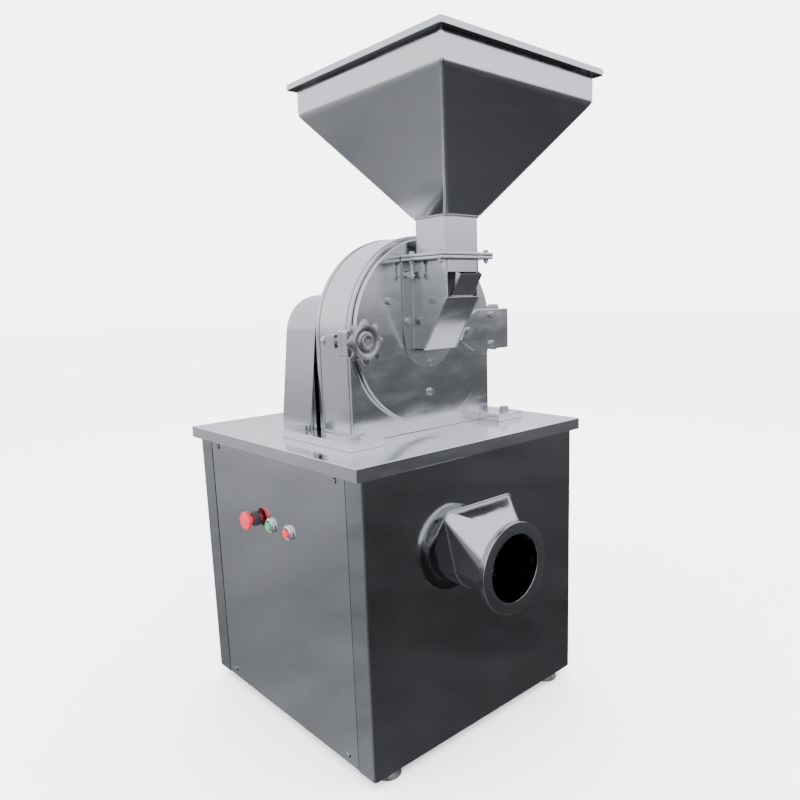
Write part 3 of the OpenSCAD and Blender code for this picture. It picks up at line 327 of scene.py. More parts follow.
def bead(path, radius, closed=False, sides=8, ripple=0.12, pitch=0.0045):
    """A weld bead: small circles carried along a path, with the radius rippled by
    1 - ripple*|sin| of the distance run, like the scales of a hand-laid weld."""
    path = np.asarray(path, float)
    if closed:
        ahead = np.roll(path, -1, 0) - np.roll(path, 1, 0)
    else:
        ahead = np.gradient(path, axis=0)
    ahead /= np.linalg.norm(ahead, axis=1, keepdims=True)
    side = np.cross(ahead, [0.31, 0.17, 0.93])
    side /= np.linalg.norm(side, axis=1, keepdims=True)
    over = np.cross(ahead, side)
    run = np.concatenate([[0], np.cumsum(np.linalg.norm(np.diff(path, axis=0), axis=1))])
    size = radius * (1 - ripple * np.abs(np.sin(np.pi * run / pitch)))[:, None, None]
    flat = circle(1, sides)
    rows = path[:, None] + size * (flat[:, :1] * side[:, None] + flat[:, 1:] * over[:, None])
    return loft(rows, "ring" if closed else "cap")


def stretch_out(points, spacing=0.0015):
    """A polyline's points at an even spacing, by its running length."""
    points = np.asarray(points, float)
    run = np.concatenate([[0], np.cumsum(np.linalg.norm(np.diff(points, axis=0), axis=1))])
    at = np.linspace(0, run[-1], max(3, int(run[-1] / spacing)))
    return np.column_stack([np.interp(at, run, points[:, k]) for k in range(3)])


# %% [markdown]
# ## Shader maths as plain expressions
#
# Noise, ramps and mixes are easier to follow as sums than as a drawing of wires. `Wire`
# wraps one output socket, and adding or multiplying wires adds the Math node for it.
# `Bench` holds a material's tree, and `bench.add` makes any other node.

# %% Wires and the bench


class Wire:
    """One output socket. Arithmetic on wires adds Math nodes."""

    def __init__(self, bench, socket):
        self.bench, self.socket = bench, socket

    def maths(self, operation, *others):
        """A Math node whose first input is this wire."""
        settings = {"operation": operation}
        values = dict(enumerate([self, *others]))
        return self.bench.add("ShaderNodeMath", settings, values)

    def __add__(self, other):
        return self.maths("ADD", other)

    def __sub__(self, other):
        return self.maths("SUBTRACT", other)

    def __mul__(self, other):
        return self.maths("MULTIPLY", other)

    def __rsub__(self, other):
        values = {0: other, 1: self}
        return self.bench.add("ShaderNodeMath", {"operation": "SUBTRACT"}, values)

    __radd__ = __add__
    __rmul__ = __mul__

    def clipped(self, bottom=0.0, top=1.0):
        """The value held between bottom and top."""
        return self.maths("MAXIMUM", bottom).maths("MINIMUM", top)


class Bench:
    """A new material's node tree, with its shader and its Object coordinates."""

    def __init__(self, name):
        self.material = bpy.data.materials.new(name)
        self.material.use_nodes = True
        self.tree = self.material.node_tree
        self.shader = self.tree.nodes["Principled BSDF"]
        self.place = self.add("ShaderNodeTexCoord", {}, {}, "Object")

    def add(self, kind, settings, values, output=0):
        """Adds a node: settings first (a ramp's stops among them), then its sockets."""
        node = self.tree.nodes.new(kind)
        for key, value in settings.items():
            if key == "stops":
                self.ramp_stops(node.color_ramp, value)
            else:
                setattr(node, key, value)
        for key, value in values.items():
            self.feed(node.inputs[key], value)
        return Wire(self, node.outputs[output])

    def ramp_stops(self, ramp, stops):
        """Sets a ramp's (position, shade) stops; a shade is one grey or a colour."""
        while len(ramp.elements) < len(stops):
            ramp.elements.new(0.5)
        for element, (position, shade) in zip(ramp.elements, stops):
            element.position = position
            element.color = (shade, shade, shade, 1) if np.isscalar(shade) else (*shade, 1)

    def feed(self, socket, value):
        """Links a wire to a socket, or sets the socket's own value."""
        if isinstance(value, Wire):
            self.tree.links.new(value.socket, socket)
        else:
            socket.default_value = value

    def noise(self, scale, detail=3.0, stretch=(1, 1, 1), rough=0.5):
        """Noise from 0 to 1 in object space, scale per metre, stretched along the axes."""
        spread = self.add("ShaderNodeMapping", {}, {"Vector": self.place, "Scale": stretch})
        values = {"Vector": spread, "Scale": scale, "Detail": detail, "Roughness": rough}
        return self.add("ShaderNodeTexNoise", {}, values)

    def ramp(self, value, stops):
        """A colour ramp: straight lines between its stops."""
        return self.add("ShaderNodeValToRGB", {"stops": stops}, {"Fac": value})

    def mix(self, share, first, second):
        """A colour mix: sockets 6 and 7 are the two colours of a Mix node set to RGBA."""
        settings = {"data_type": "RGBA"}
        return self.add("ShaderNodeMix", settings, {0: share, 6: first, 7: second}, 2)

    def bump(self, height, depth, under=None):
        """Relief: height times depth metres, laid over the normal under."""
        values = {"Height": height, "Distance": depth, "Strength": 1.0}
        if under is not None:
            values["Normal"] = under
        return self.add("ShaderNodeBump", {}, values)

    def finish(self, **sockets):
        """Feeds the shader's sockets, named with _ for a space, and gives the material."""
        for key, value in sockets.items():
            self.feed(self.shader.inputs[key.replace("_", " ")], value)
        return self.material


# %% [markdown]
# ## Polished stainless sheet
#
# Mirror-finished sheet is never a perfect mirror. It is slightly wavy from rolling and
# folding, it has faint wiping smears that are a touch rougher, and hair-fine scratches. The
# waves are a broad bump, the smears change the roughness, and the colour moves a little
# between a warm and a cool grey. The sheets differ only in numbers, and their different
# greys are painted light and shade: the upright front sheet is painted darker, the flat cap
# plate lighter.

# %% The sheet finish


def steel(name, shade, rough, wave, wave_scale, smear):
    """Metallic sheet. shade is its grey, rough its dullness, wave the height of its waves
    in metres, wave_scale how many fit a metre, smear how much duller the wiped streaks are."""
    b = Bench(name)
    broad = b.noise(wave_scale, 2.0)
    fine = b.noise(55.0, 3.0)
    wipes = b.noise(9.0, 5.0, (1, 1, 3.2), 0.62)
    hair = b.noise(420.0, 2.0, (1, 1, 0.06))
    cool = (shade * 0.97, shade * 0.99, shade * 1.03, 1)
    warm = (shade * 1.08, shade * 1.07, shade * 1.05, 1)
    dull = b.ramp(wipes, [(0.42, 0.0), (0.72, 1.0)])
    colour = b.mix(wipes, cool, warm)
    shine = (rough + smear * dull + 0.05 * (hair - 0.5)).clipped(0.03, 0.9)
    rolled = b.bump(broad, wave)
    worked = b.bump(fine, 0.00004, under=rolled)
    return b.finish(Base_Color=colour, Metallic=1.0, Roughness=shine, Normal=worked)


# One polished stainless at several greys, which are painted light and shade: darker for the upright
# front sheet and the drive hood, lighter for the flat cap plate and foot bars.
sheet_side = steel("sheet_side", 0.55, 0.09, 0.0016, 4.0, 0.08)
sheet_front = steel("sheet_front", 0.46, 0.05, 0.0020, 3.2, 0.05)
sheet_cap = steel("sheet_cap", 0.74, 0.13, 0.0006, 6.0, 0.16)
sheet_hopper = steel("sheet_hopper", 0.62, 0.16, 0.0010, 3.0, 0.10)
sheet_round = steel("sheet_round", 0.64, 0.14, 0.0008, 9.0, 0.14)
sheet_guard = steel("sheet_guard", 0.50, 0.09, 0.0014, 6.0, 0.10)
sheet_duct = steel("sheet_duct", 0.56, 0.08, 0.0006, 10.0, 0.10)
print("sheet finishes:", [m.name for m in bpy.data.materials])

# %% [markdown]
# ## The other finishes
#
# Turned parts keep fine rings from the tool, castings are grainy, rubber is dull with a
# bloom of dust, and the switch caps are glossy plastic. Each one is a few lines, because
# the bench does the wiring.

# %% Machined, cast, rubber, paint and plastic


def machined(name, shade, rough, rings=900.0):
    """Turned steel: a sine of the distance along Y, mixed with noise, gives tool marks."""
    b = Bench(name)
    settings = {"wave_type": "BANDS", "bands_direction": "Y"}
    values = {"Vector": b.place, "Scale": rings, "Distortion": 1.5, "Detail": 2.0}
    marks = b.add("ShaderNodeTexWave", settings, values, 1)
    stain = b.noise(14.0, 4.0)
    cool = (shade, shade, shade * 1.02, 1)
    dim = (shade * 0.72, shade * 0.72, shade * 0.74, 1)
    colour = b.mix(b.ramp(stain, [(0.45, 0.0), (0.75, 1.0)]), cool, dim)
    shine = rough + 0.10 * stain - 0.05 * marks
    return b.finish(
        Base_Color=colour, Metallic=1.0, Roughness=shine, Normal=b.bump(marks, 0.00003)
    )


def cast(name, shade):
    """Sand-cast metal: fine noise for the skin, coarse noise for stains."""
    b = Bench(name)
    skin = b.noise(520.0, 4.0, rough=0.7)
    stain = b.noise(30.0, 4.0)
    pale = (shade * 1.15, shade * 1.14, shade * 1.12, 1)
    dark = (shade * 0.6, shade * 0.6, shade * 0.62, 1)
    colour = b.mix(b.ramp(stain, [(0.35, 1.0), (0.62, 0.0)]), pale, dark)
    shine = 0.30 + 0.16 * skin
    return b.finish(
        Base_Color=colour, Metallic=1.0, Roughness=shine, Normal=b.bump(skin, 0.00025)
    )


def rubber(name, shade):
    """Dull rubber: dust gathers in the noise's high spots and makes them paler."""
    b = Bench(name)
    dust = b.ramp(b.noise(40.0, 5.0), [(0.5, 0.0), (0.8, 1.0)])
    dark = (shade, shade, shade, 1)
    bloom = (shade + 0.10, shade + 0.10, shade + 0.09, 1)
    skin = b.noise(900.0, 2.0)
    return b.finish(
        Base_Color=b.mix(dust, dark, bloom),
        Roughness=0.62 + 0.2 * dust,
        Normal=b.bump(skin, 0.00008),
    )


def plastic(name, colour, rough):
    """Moulded plastic: slight flow marks in its colour, a clear skin on top."""
    b = Bench(name)
    flow = b.noise(60.0, 3.0)
    deep = tuple(c * 0.7 for c in colour) + (1,)
    return b.finish(
        Base_Color=b.mix(flow, deep, (*colour, 1)),
        Roughness=rough + 0.12 * flow,
        Coat_Weight=0.5,
        Coat_Roughness=0.08,
        Normal=b.bump(flow, 0.00005),
    )


def paint(name, colour):
    """Sprayed paint: orange-peel bump and dusty patches."""
    b = Bench(name)
    dust = b.ramp(b.noise(18.0, 5.0), [(0.45, 0.0), (0.8, 1.0)])
    peel = b.noise(380.0, 2.0)
    dusty = tuple(0.6 * c + 0.12 for c in colour) + (1,)
    return b.finish(
        Base_Color=b.mix(dust, (*colour, 1), dusty),
        Roughness=0.34 + 0.3 * dust,
        Normal=b.bump(peel, 0.0001),
    )


fastener = machined("fastener_steel", 0.62, 0.24, 2600.0)
turned_steel = machined("turned_steel", 0.60, 0.26)
dull_steel = machined("worn_steel", 0.34, 0.40, 300.0)
tube_steel = steel("tube_steel", 0.38, 0.38, 0.0002, 12.0, 0.16)
# The feed box flange is the door's stainless painted a darker grey, as painted shade that sets it
# apart from the door.
flange_steel = steel("flange_steel", 0.46, 0.30, 0.0001, 9.0, 0.2)
weld = steel("weld_metal", 0.52, 0.32, 0.0001, 60.0, 0.2)
chrome = steel("bright_chrome", 0.82, 0.06, 0.0000, 20.0, 0.04)
wheel_metal = cast("wheel_casting", 0.42)
grey_iron = cast("grey_iron", 0.22)
black_rubber = rubber("black_rubber", 0.022)
pale_rubber = rubber("pale_rubber", 0.55)
red_cap = plastic("red_switch", (0.42, 0.008, 0.02), 0.3)
green_cap = plastic("green_switch", (0.005, 0.24, 0.09), 0.3)
black_plastic = plastic("black_plastic", (0.02, 0.02, 0.022), 0.4)
motor_paint = paint("motor_paint", (0.04, 0.12, 0.20))
print("finishes:", len(bpy.data.materials))

# %% [markdown]
# ## A finish for every CAD node
#
# Nodes that stay as CAD made them get their finish here. The ones that are replaced later
# get one too, which costs nothing and keeps the list complete. The last line prints any
# node that was missed.

# %% Paint the CAD nodes
finish_of = {
    "left_panel right_panel": sheet_side,
    "front_panel rear_panel": sheet_front,
    "cap_plate foot_plates": sheet_cap,
    "hopper_bowl hopper_neck hopper_rim": sheet_hopper,
    "housing_shell housing_front housing_back feed_box feed_gate": sheet_round,
    "door_disc hinge_plate hinge_bracket latch_block": sheet_round,
    "belt_guard guard_plinth": sheet_guard,
    "outlet_spout outlet_ring discharge_chute": sheet_duct,
    "frame_posts frame_rails": tube_steel,
    "feet drive_belts flange_gasket cable_gland": black_rubber,
    "door_seal": pale_rubber,
    "panel_screws mill_bolts door_bolts flange_bolts latch_stud motor_bolts": fastener,
    "hinge_pin hand_screw thrust_washer spindle_shaft motor_shaft rotor_nut": turned_steel,
    "bearings bearing_inner_rings hammer_bolts": turned_steel,
    "rotor_disc hammers ring_screen stator_ring": dull_steel,
    "bearing_housing bearing_cover spindle_pulley motor_pulley": grey_iron,
    "motor_body": motor_paint,
    "button_bezels": chrome,
    "handwheel": wheel_metal,
    "switch_blocks": black_plastic,
    "start_button": green_cap,
    "stop_button estop_button": red_cap,
}
finished = {}
for names, surface in finish_of.items():
    for name in names.split():
        nodes[name].data.materials.clear()
        nodes[name].data.materials.append(surface)
        finished[name] = surface.name
print("nodes without a finish:", sorted(set(nodes) - set(finished)))

# %% [markdown]
# ## Millimetres from the middle of the cabinet
#
# Machine drawings are in millimetres, so `at` takes millimetres from the middle of the
# cabinet, on the floor, and gives metres in the scene. The middle comes from the cap
# plate's CAD box.

# %% A maker's ruler
cabinet = middle("cap_plate")


def at(x, y, z):
    """A point given in millimetres from the middle of the cabinet's floor, in metres."""
    return np.array([cabinet[0] + x / 1000, cabinet[1] + y / 1000, z / 1000])


def mm(*sizes):
    """Sizes in millimetres as metres: one number or an array."""
    return np.asarray(sizes, float) / 1000 if len(sizes) > 1 else sizes[0] / 1000


def in_mm(profile):
    """A lathe profile drawn in millimetres as (radius, along) pairs in metres."""
    return [(mm(radius), mm(along)) for radius, along in profile]


def even(outline, count):
    """The outline with count points at even spacing, run the positive way round, and
    starting at the point that is most nearly straight below the middle. The point nearest
    to a crisp corner is moved onto it, so no corner is cut off."""
    x, y = outline.T
    if (x * np.roll(y, -1) - np.roll(x, -1) * y).sum() < 0:
        outline = outline[::-1]
    loop = np.concatenate([outline, outline[:1]])
    run = np.concatenate([[0], np.cumsum(np.linalg.norm(np.diff(loop, axis=0), axis=1))])
    spaced = np.linspace(0, run[-1], count * 8, endpoint=False)
    dense = np.column_stack([np.interp(spaced, run, loop[:, k]) for k in range(2)])
    centre = (outline.max(0) + outline.min(0)) / 2
    angle = np.arctan2(*(dense - centre).T[::-1])
    first = int(np.argmin(np.abs(np.angle(np.exp(1j * (angle + np.pi / 2))))))
    spread = np.roll(dense, -first, 0)[::8]
    ahead = np.roll(outline, -1, 0) - outline
    behind = outline - np.roll(outline, 1, 0)
    cross = ahead[:, 0] * behind[:, 1] - ahead[:, 1] * behind[:, 0]
    turn = np.abs(np.arctan2(cross, (ahead * behind).sum(1)))
    crisp = np.radians(40)
    corners = outline[turn > crisp]
    if len(corners):
        gap = np.linalg.norm(spread[:, None] - corners[None], axis=2)
        spread[gap.argmin(0)] = corners
    return spread


# %% [markdown]
# ## The hopper
#
# The real hopper is four folded sheets welded at the corners: a sloping bowl, an upright
# collar, and a rim folded out and down that stiffens the mouth. A box with a hole would
# look like card. Here each level is a rounded square, and the shell runs up the outside
# and down the inside as one closed loop of levels, so the sheet has a true thickness and
# soft bends. A thin weld bead climbs each corner.

# %% Bowl, neck and rim
h_mid = (middle("hopper_rim") - cabinet) * 1000
rim_top = high("hopper_rim")[2] * 1000
bowl_low = low("hopper_bowl")[2] * 1000
plate_top = high("flange_gasket")[2] * 1000 + 5.5
rim_half = (high("hopper_rim")[0] - low("hopper_rim")[0]) * 500
fold = bowl_low + 190


def square_level(half, corner, z):
    """One level of the hopper: a rounded square at height z, all in millimetres."""
    return facing(mm(1) * round_box(2 * half, 2 * half, corner), at(h_mid[0], h_mid[1], z), FLAT)


outside = [(43.5, 12, bowl_low), (46, 11, bowl_low + 3.2), (58, 9, bowl_low + 19)]
outside += [(110, 7, bowl_low + 87), (160, 6, bowl_low + 152), (183, 6, fold - 8)]
outside += [(187.6, 6, fold - 1), (189, 6, fold + 5), (189, 6, rim_top - 2)]
inside = [(187, 4, rim_top - 2), (187, 4, fold + 5), (185.4, 4, fold - 1), (181, 4, fold - 8)]
inside += [(158, 4, bowl_low + 152), (108, 5, bowl_low + 87), (56, 7, bowl_low + 19)]
inside += [(44, 9, bowl_low + 3.4), (41.5, 10, bowl_low)]
bowl = loft([square_level(*row) for row in outside + inside], "ring")
corner_run = np.array([[46, bowl_low + 3], [183, fold - 8], [188.5, fold], [189, rim_top - 12]])
corner_beads = []
for sx, sy in ((-1, -1), (1, -1), (1, 1), (-1, 1)):
    seam = [at(h_mid[0] + sx * (r - 2.2), h_mid[1] + sy * (r - 2.2), z) for r, z in corner_run]
    corner_beads.append(bead(stretch_out(seam, 0.002), mm(1.5), sides=6, pitch=0.0038))
lift("hopper_bowl_sheet", "door", sheet_hopper, bowl, stands_for=["hopper_bowl"], slot="stainless")
lift("hopper_corner_welds", "door", weld, *corner_beads, slot="stainless")

rim_rows = [(187, 4, rim_top - 2.2), (187, 4, rim_top - 0.6), (187.8, 4.5, rim_top)]
rim_rows += [(199.6, 5, rim_top), (201.3, 5.5, rim_top - 0.7), (rim_half, 6, rim_top - 2.4)]
rim_rows += [(rim_half, 6, rim_top - 10.4), (rim_half - 0.8, 6, rim_top - 11)]
rim_rows += [(rim_half - 2, 5, rim_top - 10.4), (rim_half - 2, 5, rim_top - 2.4)]
lift(
    "hopper_rim_fold",
    "door",
    sheet_hopper,
    loft([square_level(*row) for row in rim_rows], "ring"),
    stands_for=["hopper_rim"],
    slot="stainless",
)

# %% Neck with its flange plate
neck_rows = [(43, 12, plate_top - 1), (43, 12, bowl_low - 3), (43.6, 12, bowl_low + 0.5)]
neck_rows += [(41.6, 10, bowl_low + 0.5), (41, 10, bowl_low - 3), (41, 10, plate_top - 1)]
neck = loft([square_level(*row) for row in neck_rows], "ring")
plate_wide, plate_deep = ((high("flange_gasket") - low("flange_gasket")) * 1000)[:2]
plate_outline = mm(1) * round_box(plate_wide, plate_deep, 5)
plate_hole = mm(1) * round_box(72, 72, 4)
gasket_low = low("flange_gasket")[2] * 1000
upper_plate = ring_slab(
    plate_outline, plate_hole, at(h_mid[0], h_mid[1], plate_top - 5.5), FLAT, mm(5.5), mm(0.9)
)
foot_bead = bead(square_level(43.8, 12, plate_top + 0.6), mm(2.2), closed=True)
top_bead = bead(square_level(44.6, 12, bowl_low + 0.6), mm(1.8), closed=True)
lift(
    "hopper_neck_tube", "door", sheet_hopper, neck, upper_plate,
    stands_for=["hopper_neck"], slot="stainless",
)
lift("neck_welds", "door", weld, foot_bead, top_bead, slot="stainless")

# %% [markdown]
# ## The feed box and its gate
#
# Grain drops into a box bolted to the door. Its front slopes, and above the slope is a
# window with a tray-shaped gate that slides up and down to regulate the feed. The box is
# cut from plates, so each wall is a bevelled plate here, with welds where they meet.

# %% Feed box walls
door_front = (low("door_seal")[1] - cabinet[1]) * 1000 - 8
spindle_z = rotor_axis[2] * 1000
box_top = gasket_low - 5.5
flange_y = door_front - 4
box_front = flange_y - 92
sill, lintel, toe = spindle_z + 67, spindle_z + 112, spindle_z - 31
toe_y = flange_y - 28
UPRIGHT = ([0, 1, 0], [0, 0, 1], [1, 0, 0])


def plate(corners, radii, origin, axes, thick, edge=0.7):
    """A bevelled plate cut from corners in millimetres, each corner with its radius."""
    return slab(mm(1) * polygon_round(corners, radii, 6), origin, axes, mm(thick), mm(edge))


wall = [[flange_y, toe], [flange_y, box_top], [box_front, box_top], [box_front, sill]]
wall += [[toe_y, toe]]
wall_radii = [1, 1, 1, 4, 5]
walls = [plate(wall, wall_radii, at(x, 0, 0), UPRIGHT, 3) for x in (-41, 38)]
lean = np.array([toe_y - box_front, toe - sill])
lean /= np.linalg.norm(lean)
inward = np.array([-lean[1], lean[0]])
SLOPE = ([1, 0, 0], [0, -lean[0], -lean[1]], [0, -inward[0], -inward[1]])
slope_long = np.hypot(toe_y - box_front, toe - sill)
slope_start = at(0, box_front + 3 * inward[0], sill + 3 * inward[1])
slope = plate(
    [[-44, -slope_long], [44, -slope_long], [44, 0], [-44, 0]], 3, slope_start, SLOPE, 3, 0.8
)
lintel_plate = plate(
    [[-41, lintel], [41, lintel], [41, box_top], [-41, box_top]], 1, at(0, box_front + 3, 0),
    FRONT, 3,
)
lower_plate = ring_slab(
    plate_outline, plate_hole, at(h_mid[0], h_mid[1], box_top), FLAT, mm(5.5), mm(0.9)
)
floor_plate = slab(
    mm(1) * polygon_round([[-41, -28], [41, -28], [41, 0], [-41, 0]], 0.6, 4),
    at(0, flange_y, toe), FLAT, mm(3), mm(0.4),
)
arc = np.radians(np.linspace(180, 360, 41))
u_half = 66
u_drop = 67
u_mid = spindle_z - u_drop + u_half
u_shape = np.column_stack([u_half * np.cos(arc), u_mid + u_half * np.sin(arc)])
u_shape = np.concatenate([u_shape, [[u_half, box_top], [-u_half, box_top]]])
feed_opening = round_box(70, 78, 10)
feed_rise = 13
feed_shape = feed_opening + [0, spindle_z + feed_rise]
u_flange = ring_slab(
    mm(1) * even(u_shape, 120), mm(1) * even(feed_shape, 120), at(0, flange_y + 4, 0), FRONT,
    mm(4), mm(1.2),
)
guides = [
    plate([[x, -100], [x + 8.4, -100], [x + 8.4, -4], [x, -4]], 0.4, slope_start, SLOPE, -4.6, 0.2)
    for x in (29.5, -37.9)
]
lift(
    "feed_box_plates", "door", sheet_round, *walls, slope, floor_plate, lintel_plate, lower_plate,
    *guides, stands_for=["feed_box"], slot="stainless",
)
# The flange's darker grey is painted shade.
lift("feed_box_flange", "door", flange_steel, u_flange, slot="stainless")
box_seams = [[at(x, flange_y - 0.4, z) for z in (toe + 4, box_top - 6)] for x in (-42.2, 42.2)]
box_seams += [[at(x, box_front + 0.2, z) for z in (lintel, box_top - 1)] for x in (-41, 41)]
box_seams += [
    [at(x, box_front - 0.2, sill - 1), at(x, toe_y - 0.4, toe + 1)] for x in (-42.6, 42.6)
]
box_beads = [bead(stretch_out(seam), mm(1.7)) for seam in box_seams]
lift("feed_box_welds", "door", weld, *box_beads, slot="stainless")

# %% The sliding gate
gate_start = at(0, box_front + 3.3 * inward[0], sill + 3.3 * inward[1])
gate_plate = plate([[-29, -60], [29, -60], [29, 46], [-29, 46]], 2, gate_start, SLOPE, -2, 0.5)
CHEEK = (SLOPE[1], [-v for v in SLOPE[2]], [1, 0, 0])
cheeks = [
    plate([[21, 1], [46, 1], [46, 13]], [0.5, 1, 2], gate_start + [mm(x), 0, 0], CHEEK, 2, 0.5)
    for x in (-29, 27)
]
lift(
    "feed_gate_tray", "gate", sheet_round, gate_plate, *cheeks,
    stands_for=["feed_gate"], slot="stainless",
)

# %% [markdown]
# ## Bolts
#
# A bolt head is a hexagon whose corners were turned off on a lathe. In numbers: the
# outline's radius at an angle is the smaller of the hexagon's and the chamfer's, so one
# array of angles gives the whole head, and a smaller chamfer limit near the top makes the
# curved facets.

# %% Hexagon heads


def hexagon_outline(across, limit):
    """radius = min((across/2) / cos(angle to the nearest flat), limit)."""
    count = 48
    angle = np.arange(count) * 2 * np.pi / count
    to_flat = np.mod(angle + np.pi / 6, np.pi / 3) - np.pi / 6
    radius = np.minimum(across / 2 / np.cos(to_flat), limit)
    return radius[:, None] * np.column_stack([np.cos(angle), np.sin(angle)])


def bolt_head(origin, axes, across, tall, washer=0.0, washer_thick=0.0):
    """A washer, if it has a radius, and a chamfered head on it, in metres, pushed along
    axes[2] from the origin."""
    solids = []
    if washer:
        ring = [(washer * 0.3, 0), (washer, 0), (washer, washer_thick * 0.75)]
        ring += [(washer * 0.96, washer_thick), (washer * 0.3, washer_thick)]
        solids.append(turned(ring, origin, axes, 40))
    corner = across / 2 / np.cos(np.pi / 6)
    rows = [(across * 0.49, 0.0), (corner, 0.05), (corner, 0.80), (across * 0.53, 0.92)]
    rows += [(across * 0.485, 1.0)]
    levels = [
        facing(hexagon_outline(across, limit), origin, axes, washer_thick + share * tall)
        for limit, share in rows
    ]
    return solids + [loft(levels)]


def stud_end(origin, axes, radius, long, thread=0.0012):
    """A threaded rod's end: rings that swell and shrink once every thread, then a cone."""
    steps = max(4, int(long / thread))
    profile = [(radius * (0.9 if k % 2 else 1.0), long * k / steps) for k in range(steps)]
    profile += [(radius * 0.8, long)]
    return turned([(radius * 0.9, 0), *profile[1:]], origin, axes, 24)


# %% [markdown]
# ## The door
#
# The door is a thick turned disc with a lug for the hinge on the right and a heavy ear for
# the hand screw on the left. Each part is a bevelled solid, and the feed opening is the
# inner outline of a ring of quads, so light can really pass into the chamber.

# %% Door disc, ear and lug
door_thick = 11
door_r = 179
door_back = door_front + door_thick
disc = ring_slab(
    mm(1) * even(circle(door_r, 240), 240),
    mm(1) * even(feed_opening + [0, feed_rise], 240),
    at(0, door_back, spindle_z), FRONT, mm(door_thick - 0.02), mm(1.6),
)
lug = plate(
    [[140, -44], [200, -44], [200, 40], [140, 40]], [1, 6, 6, 1], at(0, door_back, spindle_z),
    FRONT, door_thick, 1.2,
)
latch_z = spindle_z - 5
latch_x = -196
ear_front = door_front - 17.5
ear_outline = [[-212, -28], [-160, -28], [-160, 21], [-212, 21]]
ear = plate(ear_outline, [5, 2, 2, 5], at(0, door_front + 0.5, latch_z), FRONT, 18, 1.8)
ear_web = plate(ear_outline, [5, 2, 2, 5], at(0, door_back, latch_z), FRONT, door_thick, 1.2)
lift(
    "door_plate", "door", sheet_round, disc, lug, ear, ear_web,
    stands_for=["door_disc"], slot="stainless",
)
ear_seam = [at(x, door_front - 0.3, latch_z + z) for x, z in ((-168, -28.6), (-159.4, -28))]
ear_seam += [at(x, door_front - 0.3, latch_z + z) for x, z in ((-159.4, 21), (-170, 21.6))]
lift("door_ear_weld", "door", weld, bead(stretch_out(ear_seam), mm(2.2)), slot="stainless")

# %% Hinge plate, knuckles and pin
pin_x, pin_y = 217, (middle("hinge_pin") - cabinet)[1] * 1000
hinge_outline = [[82, -22], [119, -44], [228, -44], [228, 40], [130, 40], [105, 27]]
hinge_face = plate(
    hinge_outline, [6, 6, 3, 3, 6, 6], at(0, door_front, spindle_z), FRONT, 9, 1.1
)
web = plate(
    [[-9, -21.6], [9, -21.6], [9, 21.6], [-9, 21.6]], 1, at(pin_x, pin_y, spindle_z), FRONT,
    pin_y - door_front, 0.8,
)


def knuckle(bottom, top, inner):
    """A hinge knuckle: a turned ring with chamfered ends."""
    b, t, n = mm(bottom), mm(top), mm(inner)
    loop = [(n, b), (mm(12), b), (mm(13), b + mm(1)), (mm(13), t - mm(1)), (mm(12), t), (n, t)]
    return turned_ring(loop, at(pin_x, pin_y, 0), FLAT, 48)


door_knuckle = knuckle(spindle_z - 21.6, spindle_z + 21.6, 8.06)
lift(
    "hinge_leaf", "door", sheet_round, hinge_face, web, door_knuckle,
    stands_for=["hinge_plate"], slot="stainless",
)
pin_low, pin_top = low("hinge_pin")[2], high("hinge_pin")[2]
pin = [(mm(7), pin_low), (mm(8), pin_low + mm(1)), (mm(8), pin_top - mm(4))]
pin += [(mm(11), pin_top - mm(4)), (mm(11), pin_top - mm(1.6))]
pin += [(mm(9.4), pin_top - mm(0.4)), (mm(5), pin_top)]
lift(
    "hinge_pin_turned", "cabinet", turned_steel, turned(pin, at(pin_x, pin_y, 0), FLAT, 40),
    stands_for=["hinge_pin"], slot="bright_chrome",
)

# %% Door bolts
hinge_heads = [[174, 28], [174, -33], [103, -2]]
u_heads = [[-56, 111], [56, 111], [-56, 24], [56, 24], [0, -58]]
turn = np.radians([147, 33, -90])
ring_bolt_r = 117
ring_heads = ring_bolt_r * np.column_stack([np.cos(turn), np.sin(turn)])
heads = []
for spots, face in ((hinge_heads, door_front - 9), (u_heads, flange_y), (ring_heads, door_front)):
    for x, z in spots:
        origin = at(x, face, spindle_z + z)
        heads += bolt_head(origin, FRONT, mm(12), mm(5.2), mm(8), mm(1.5))
lift("door_bolt_heads", "door", fastener, *heads, slot="stainless", stands_for=["door_bolts"])

# %% Flange bolts
DOWN = ([1, 0, 0], [0, -1, 0], [0, 0, -1])
clamp_x = plate_wide / 2 - 9
clamps = []
# The back left bolt is a long one, with a second nut near its end.
for sx, back in ((-1, -44), (1, -44), (1, 33), (-1, 33)):
    x, y = h_mid[0] + sx * clamp_x, h_mid[1] + back
    clamps += bolt_head(at(x, y, plate_top), FLAT, mm(9), mm(3.9), mm(6), mm(1.5))
    clamps += bolt_head(at(x, y, box_top), DOWN, mm(9.2), mm(5))
    tail = 29 if (sx, back) == (-1, 33) else 3
    clamps.append(stud_end(at(x, y, box_top - 5), DOWN, mm(3), mm(tail)))
clamps += bolt_head(at(h_mid[0] - clamp_x, h_mid[1] + 33, box_top - 24), DOWN, mm(9.2), mm(5))
lift("flange_clamps", "door", fastener, *clamps, slot="stainless", stands_for=["flange_bolts"])

# %% [markdown]
# ## The hand screw and its wheel
#
# The wheel is a small casting with finger lobes round its rim and a dished web. It is one
# loft in polar form: each row is a circle whose radius swells and shrinks eight times round,
# a lot at the rim and not at all at the hub, so the lobes fade into the web by themselves.

# %% Handwheel
LOBES = 8
wheel_y = ear_front - 34


def lobed(radius, depth, swell):
    """radius * (1 + swell * sign(cos 8t) * |cos 8t|^0.8), pushed to depth."""
    t = np.arange(192) * 2 * np.pi / 192
    wave = np.sign(np.cos(LOBES * t)) * np.abs(np.cos(LOBES * t)) ** 0.8
    r = mm(radius) * (1 + swell * wave)
    outline = r[:, None] * np.column_stack([np.cos(t), np.sin(t)])
    return facing(outline, at(latch_x, wheel_y, latch_z), FRONT, mm(depth))


